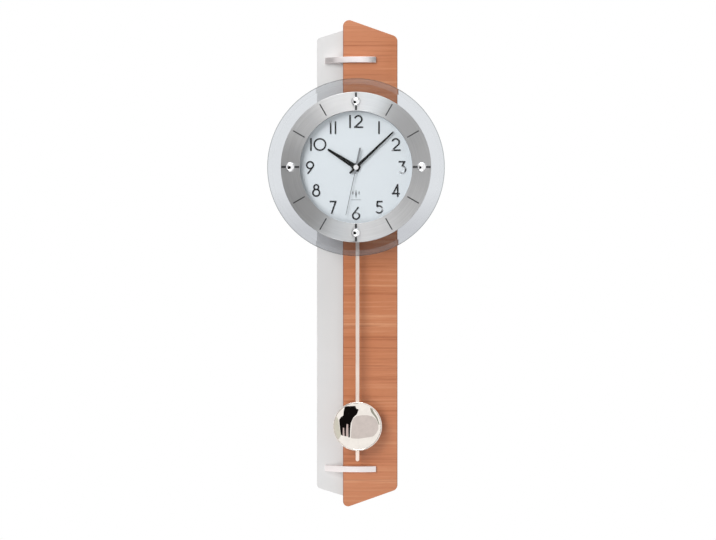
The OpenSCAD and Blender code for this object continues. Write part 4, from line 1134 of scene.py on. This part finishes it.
@dataclass
class Cards:
    """The cards: dark and grey ones close to the bob, bright ones above and below for the ring.

    The bob's outlines and the stud's spot are places on those domes, in parts of their rim's radius.
    The other outlines are X and Z in metres.
    """

    eye: Point
    shade: Colour = (0.006, 0.005, 0.005)
    bob_black: Outline = (
        (-0.53, 0.84), (-0.09, 0.87), (-0.05, 0.76), (0.05, 0.71), (-0.02, 0.52), (-0.17, 0.38),
        (-0.27, 0.15), (-0.30, -0.10), (-0.315, -0.45), (-0.375, -0.455), (-0.38, -0.10), (-0.385, 0.10),
        (-0.45, 0.11), (-0.475, -0.20), (-0.475, -0.41), (-0.54, -0.40), (-0.555, -0.05), (-0.61, -0.05),
        (-0.62, -0.39), (-0.70, -0.35), (-0.745, -0.02), (-0.775, 0.28), (-0.70, 0.40), (-0.60, 0.46),
        (-0.585, 0.66))
    bob_slits: Outline = ((-0.64, -0.38), (-0.38, -0.42), (-0.38, 0.13), (-0.64, 0.05))
    bob_grey: Outline = (
        (-0.28, -0.46), (-0.25, -0.12), (-0.22, 0.21), (-0.165, 0.35), (-0.04, 0.44), (0.19, 0.475),
        (0.42, 0.475), (0.655, 0.417), (0.79, 0.30), (0.885, 0.07), (0.885, -0.12), (0.79, -0.30),
        (0.655, -0.42), (0.38, -0.455), (0.05, -0.50), (-0.225, -0.49))
    bob_edge: Outline = ((0.53, 0.78), (0.62, 0.74), (0.72, 0.56), (0.84, 0.38), (0.93, 0.08), (0.905, 0.06),
                         (0.79, 0.34), (0.66, 0.50), (0.58, 0.60))
    bob_band: Outline = ((-0.80, 0.27), (-0.755, -0.10), (-0.68, -0.37), (-0.82, -0.57), (-1.0, -0.25),
                         (-1.02, 0.2), (-0.90, 0.45))
    sky: Outline = ((-0.30, -0.66), (0.22, -0.66), (0.22, -0.398), (-0.30, -0.398))
    stud_centre: Point = (0.0, -0.052, HANDS_Z)
    stud_ball: float = 0.00668
    stud_rim: float = 0.0062
    spot_middle: Pair = (-0.27, -0.20)
    spot_radii: Pair = (0.31, 0.34)
    spot_steps: int = 20
    upper: Outline = ((-0.33, 0.35), (0.08, 0.35), (0.22, 1.30), (-0.65, 1.30))
    streak: Outline = ((0.08, 0.35), (0.20, 0.35), (0.50, 1.30), (0.22, 1.30))
    lower: Outline = ((-0.62, -1.15), (0.36, -1.20), (0.60, -2.20), (-1.40, -2.20))
    side: Outline = ((-0.62, -0.16), (-0.62, 0.35), (-1.40, 0.60), (-1.40, -0.16))
    past_bar: Outline = ((0.040, 0.012), (0.200, 0.012), (0.200, 0.086), (0.040, 0.086))
    before_bar: Outline = ((-0.200, 0.012), (-0.105, 0.012), (-0.105, 0.086), (-0.200, 0.086))

    def build(self) -> None:
        """Sets the cards that metal reflects."""
        bob = DomeMirror(self.eye)
        stud = DomeMirror(self.eye, self.stud_centre, self.stud_ball, self.stud_rim)
        turns = [math.tau * k / self.spot_steps for k in range(self.spot_steps)]
        (across, up), (wide, high) = self.spot_middle, self.spot_radii
        spot = tuple((across + wide * math.cos(turn), up + high * math.sin(turn)) for turn in turns)
        for name, colour, depth, outline, mirror in (
                ("card_black", self.shade, 0.108, self.bob_black, bob),
                ("card_slits", (0.60, 0.50, 0.50), 0.109, self.bob_slits, bob),
                ("card_grey", (0.66, 0.62, 0.62), 0.111, self.bob_grey, bob),
                ("card_edge", (0.34, 0.35, 0.31), 0.110, self.bob_edge, bob),
                ("card_band", (0.66, 0.665, 0.60), 0.110, self.bob_band, bob),
                ("card_spot", self.shade, 0.50, spot, stud)):
            Card(name, colour, depth, mirror.card(outline, depth)).build()
        for name, colour, depth, outline, glow in (
                ("card_sky", (0.94, 0.94, 0.94), 0.113, self.sky, 1.0),
                ("card_upper", WHITE, 0.55, self.upper, 5.5),
                ("card_streak", (0.84, 0.94, 1.0), 0.55, self.streak, 7.5),
                ("card_lower", WHITE, 0.65, self.lower, 12.0),
                ("card_side", (0.25, 0.25, 0.25), 0.50, self.side, 1.0),
                ("card_past_bar", (0.04, 0.04, 0.04), 0.10, self.past_bar, 1.0),
                ("card_before_bar", (0.10, 0.10, 0.10), 0.10, self.before_bar, 1.0)):
            Card(name, colour, depth, outline, glow).build()


@dataclass
class Studio:
    """Pale surroundings, soft lamps, a pale floor and the camera at the photograph's angle."""

    lens: float = 87.4
    sensor: float = 36.0
    eye: Point = (0.0027, -2.4235, -0.259)
    white: float = 1.0
    fill: float = 0.26
    floor_z: float = -1.45
    floor_r: float = 1.3
    floor_steps: int = 96
    floor_fade: Pair = (0.35, 0.98)
    floor_colour: Colour = (0.92, 0.92, 0.92)

    def build(self) -> None:
        """Sets the scene round the clock."""
        self.camera()
        self.world()
        self.floor()
        self.lamp("key", (-1.2, -2.2, 0.7), -0.2, 1.3, 38.0)
        self.lamp("low", (-0.7, -2.3, -1.1), -0.45, 1.1, 16.0)
        self.lamp("fill_right", (1.4, -2.3, 0.0), -0.3, 1.2, 1.5)
        self.lamp("top", (0.0, -1.1, 1.7), -0.15, 0.9, 4.5)
        self.lamp("behind", (0.9, 2.2, 0.5), -0.25, 1.2, 16.0)
        Cards(self.eye).build()
        bpy.context.scene.view_settings.view_transform = "Standard"

    def camera(self) -> None:
        """Places the camera on the photograph's axis."""
        data = bpy.data.cameras.new("camera")
        data.lens = self.lens
        data.sensor_width = self.sensor
        made = Mesh.add("camera", data)
        made.location = self.eye
        made.rotation_euler = (math.pi / 2, 0.0, 0.0)
        bpy.context.scene.camera = made

    def world(self) -> None:
        """White for the eye, metal and glass, and a softer level as light."""
        s = Sheet("studio", world=True)
        bpy.context.scene.world = s.owner
        seen = s.maths("MAXIMUM", s.ray(Ray.CAMERA), s.ray(Ray.GLOSSY))
        seen = s.maths("MAXIMUM", seen, s.ray(Ray.TRANSMISSION))
        soft, bright = (s.node("Background", Color=WHITE, Strength=level).outputs[0]
                        for level in (self.fill, self.white))
        s.show(s.layer(seen, soft, bright))

    def floor(self) -> None:
        """Lays a pale disc below the clock that fades out."""
        form = bmesh.new()
        middle = form.verts.new((0.0, 0.0, self.floor_z))
        turns = [math.tau * i / self.floor_steps for i in range(self.floor_steps)]
        rim = [form.verts.new((self.floor_r * math.cos(turn), self.floor_r * math.sin(turn), self.floor_z))
               for turn in turns]
        for here, there in zip(rim, rim[1:] + rim[:1]):
            form.faces.new((middle, here, there))
        made = Mesh.piece("floor", form)
        s = Sheet("floor")
        x, y, _ = s.split(s.place())
        fade = s.span(s.length(s.join(x, y, 0.0)), *(part * self.floor_r for part in self.floor_fade))
        pale = s.node("BsdfDiffuse", Color=self.floor_colour, Roughness=1.0)
        s.show(s.layer(fade, pale.outputs[0], s.node("BsdfTransparent").outputs[0]))
        made.data.materials.append(s.owner)

    @staticmethod
    def lamp(name: str, spot: Point, aim: float, side: float, watts: float) -> None:
        """Adds a soft square lamp.

        Args:
            name: Its name.
            spot: Where it stands.
            aim: Height on the clock's axis that it points at.
            side: Its side in metres.
            watts: Its power.
        """
        data = bpy.data.lights.new(name, "AREA")
        data.shape = "SQUARE"
        data.size = side
        data.energy = watts
        made = Mesh.add(name, data)
        made.location = spot
        made.rotation_euler = (Vector((0.0, 0.0, aim)) - Vector(spot)).to_track_quat("-Z", "Y").to_euler()
        made.visible_glossy = made.visible_transmission = False


def main() -> None:
    """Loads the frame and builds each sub-assembly in order."""
    logging.basicConfig(level=logging.INFO, format="%(name)s: %(message)s")
    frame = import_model()
    Studio().build()
    finishes = Finishes()
    for kind in (Panels, DialHead, Hands, Pendulum, Movement, Fixings):
        kind(finishes, frame).build()


if __name__ == "__main__":
    main()
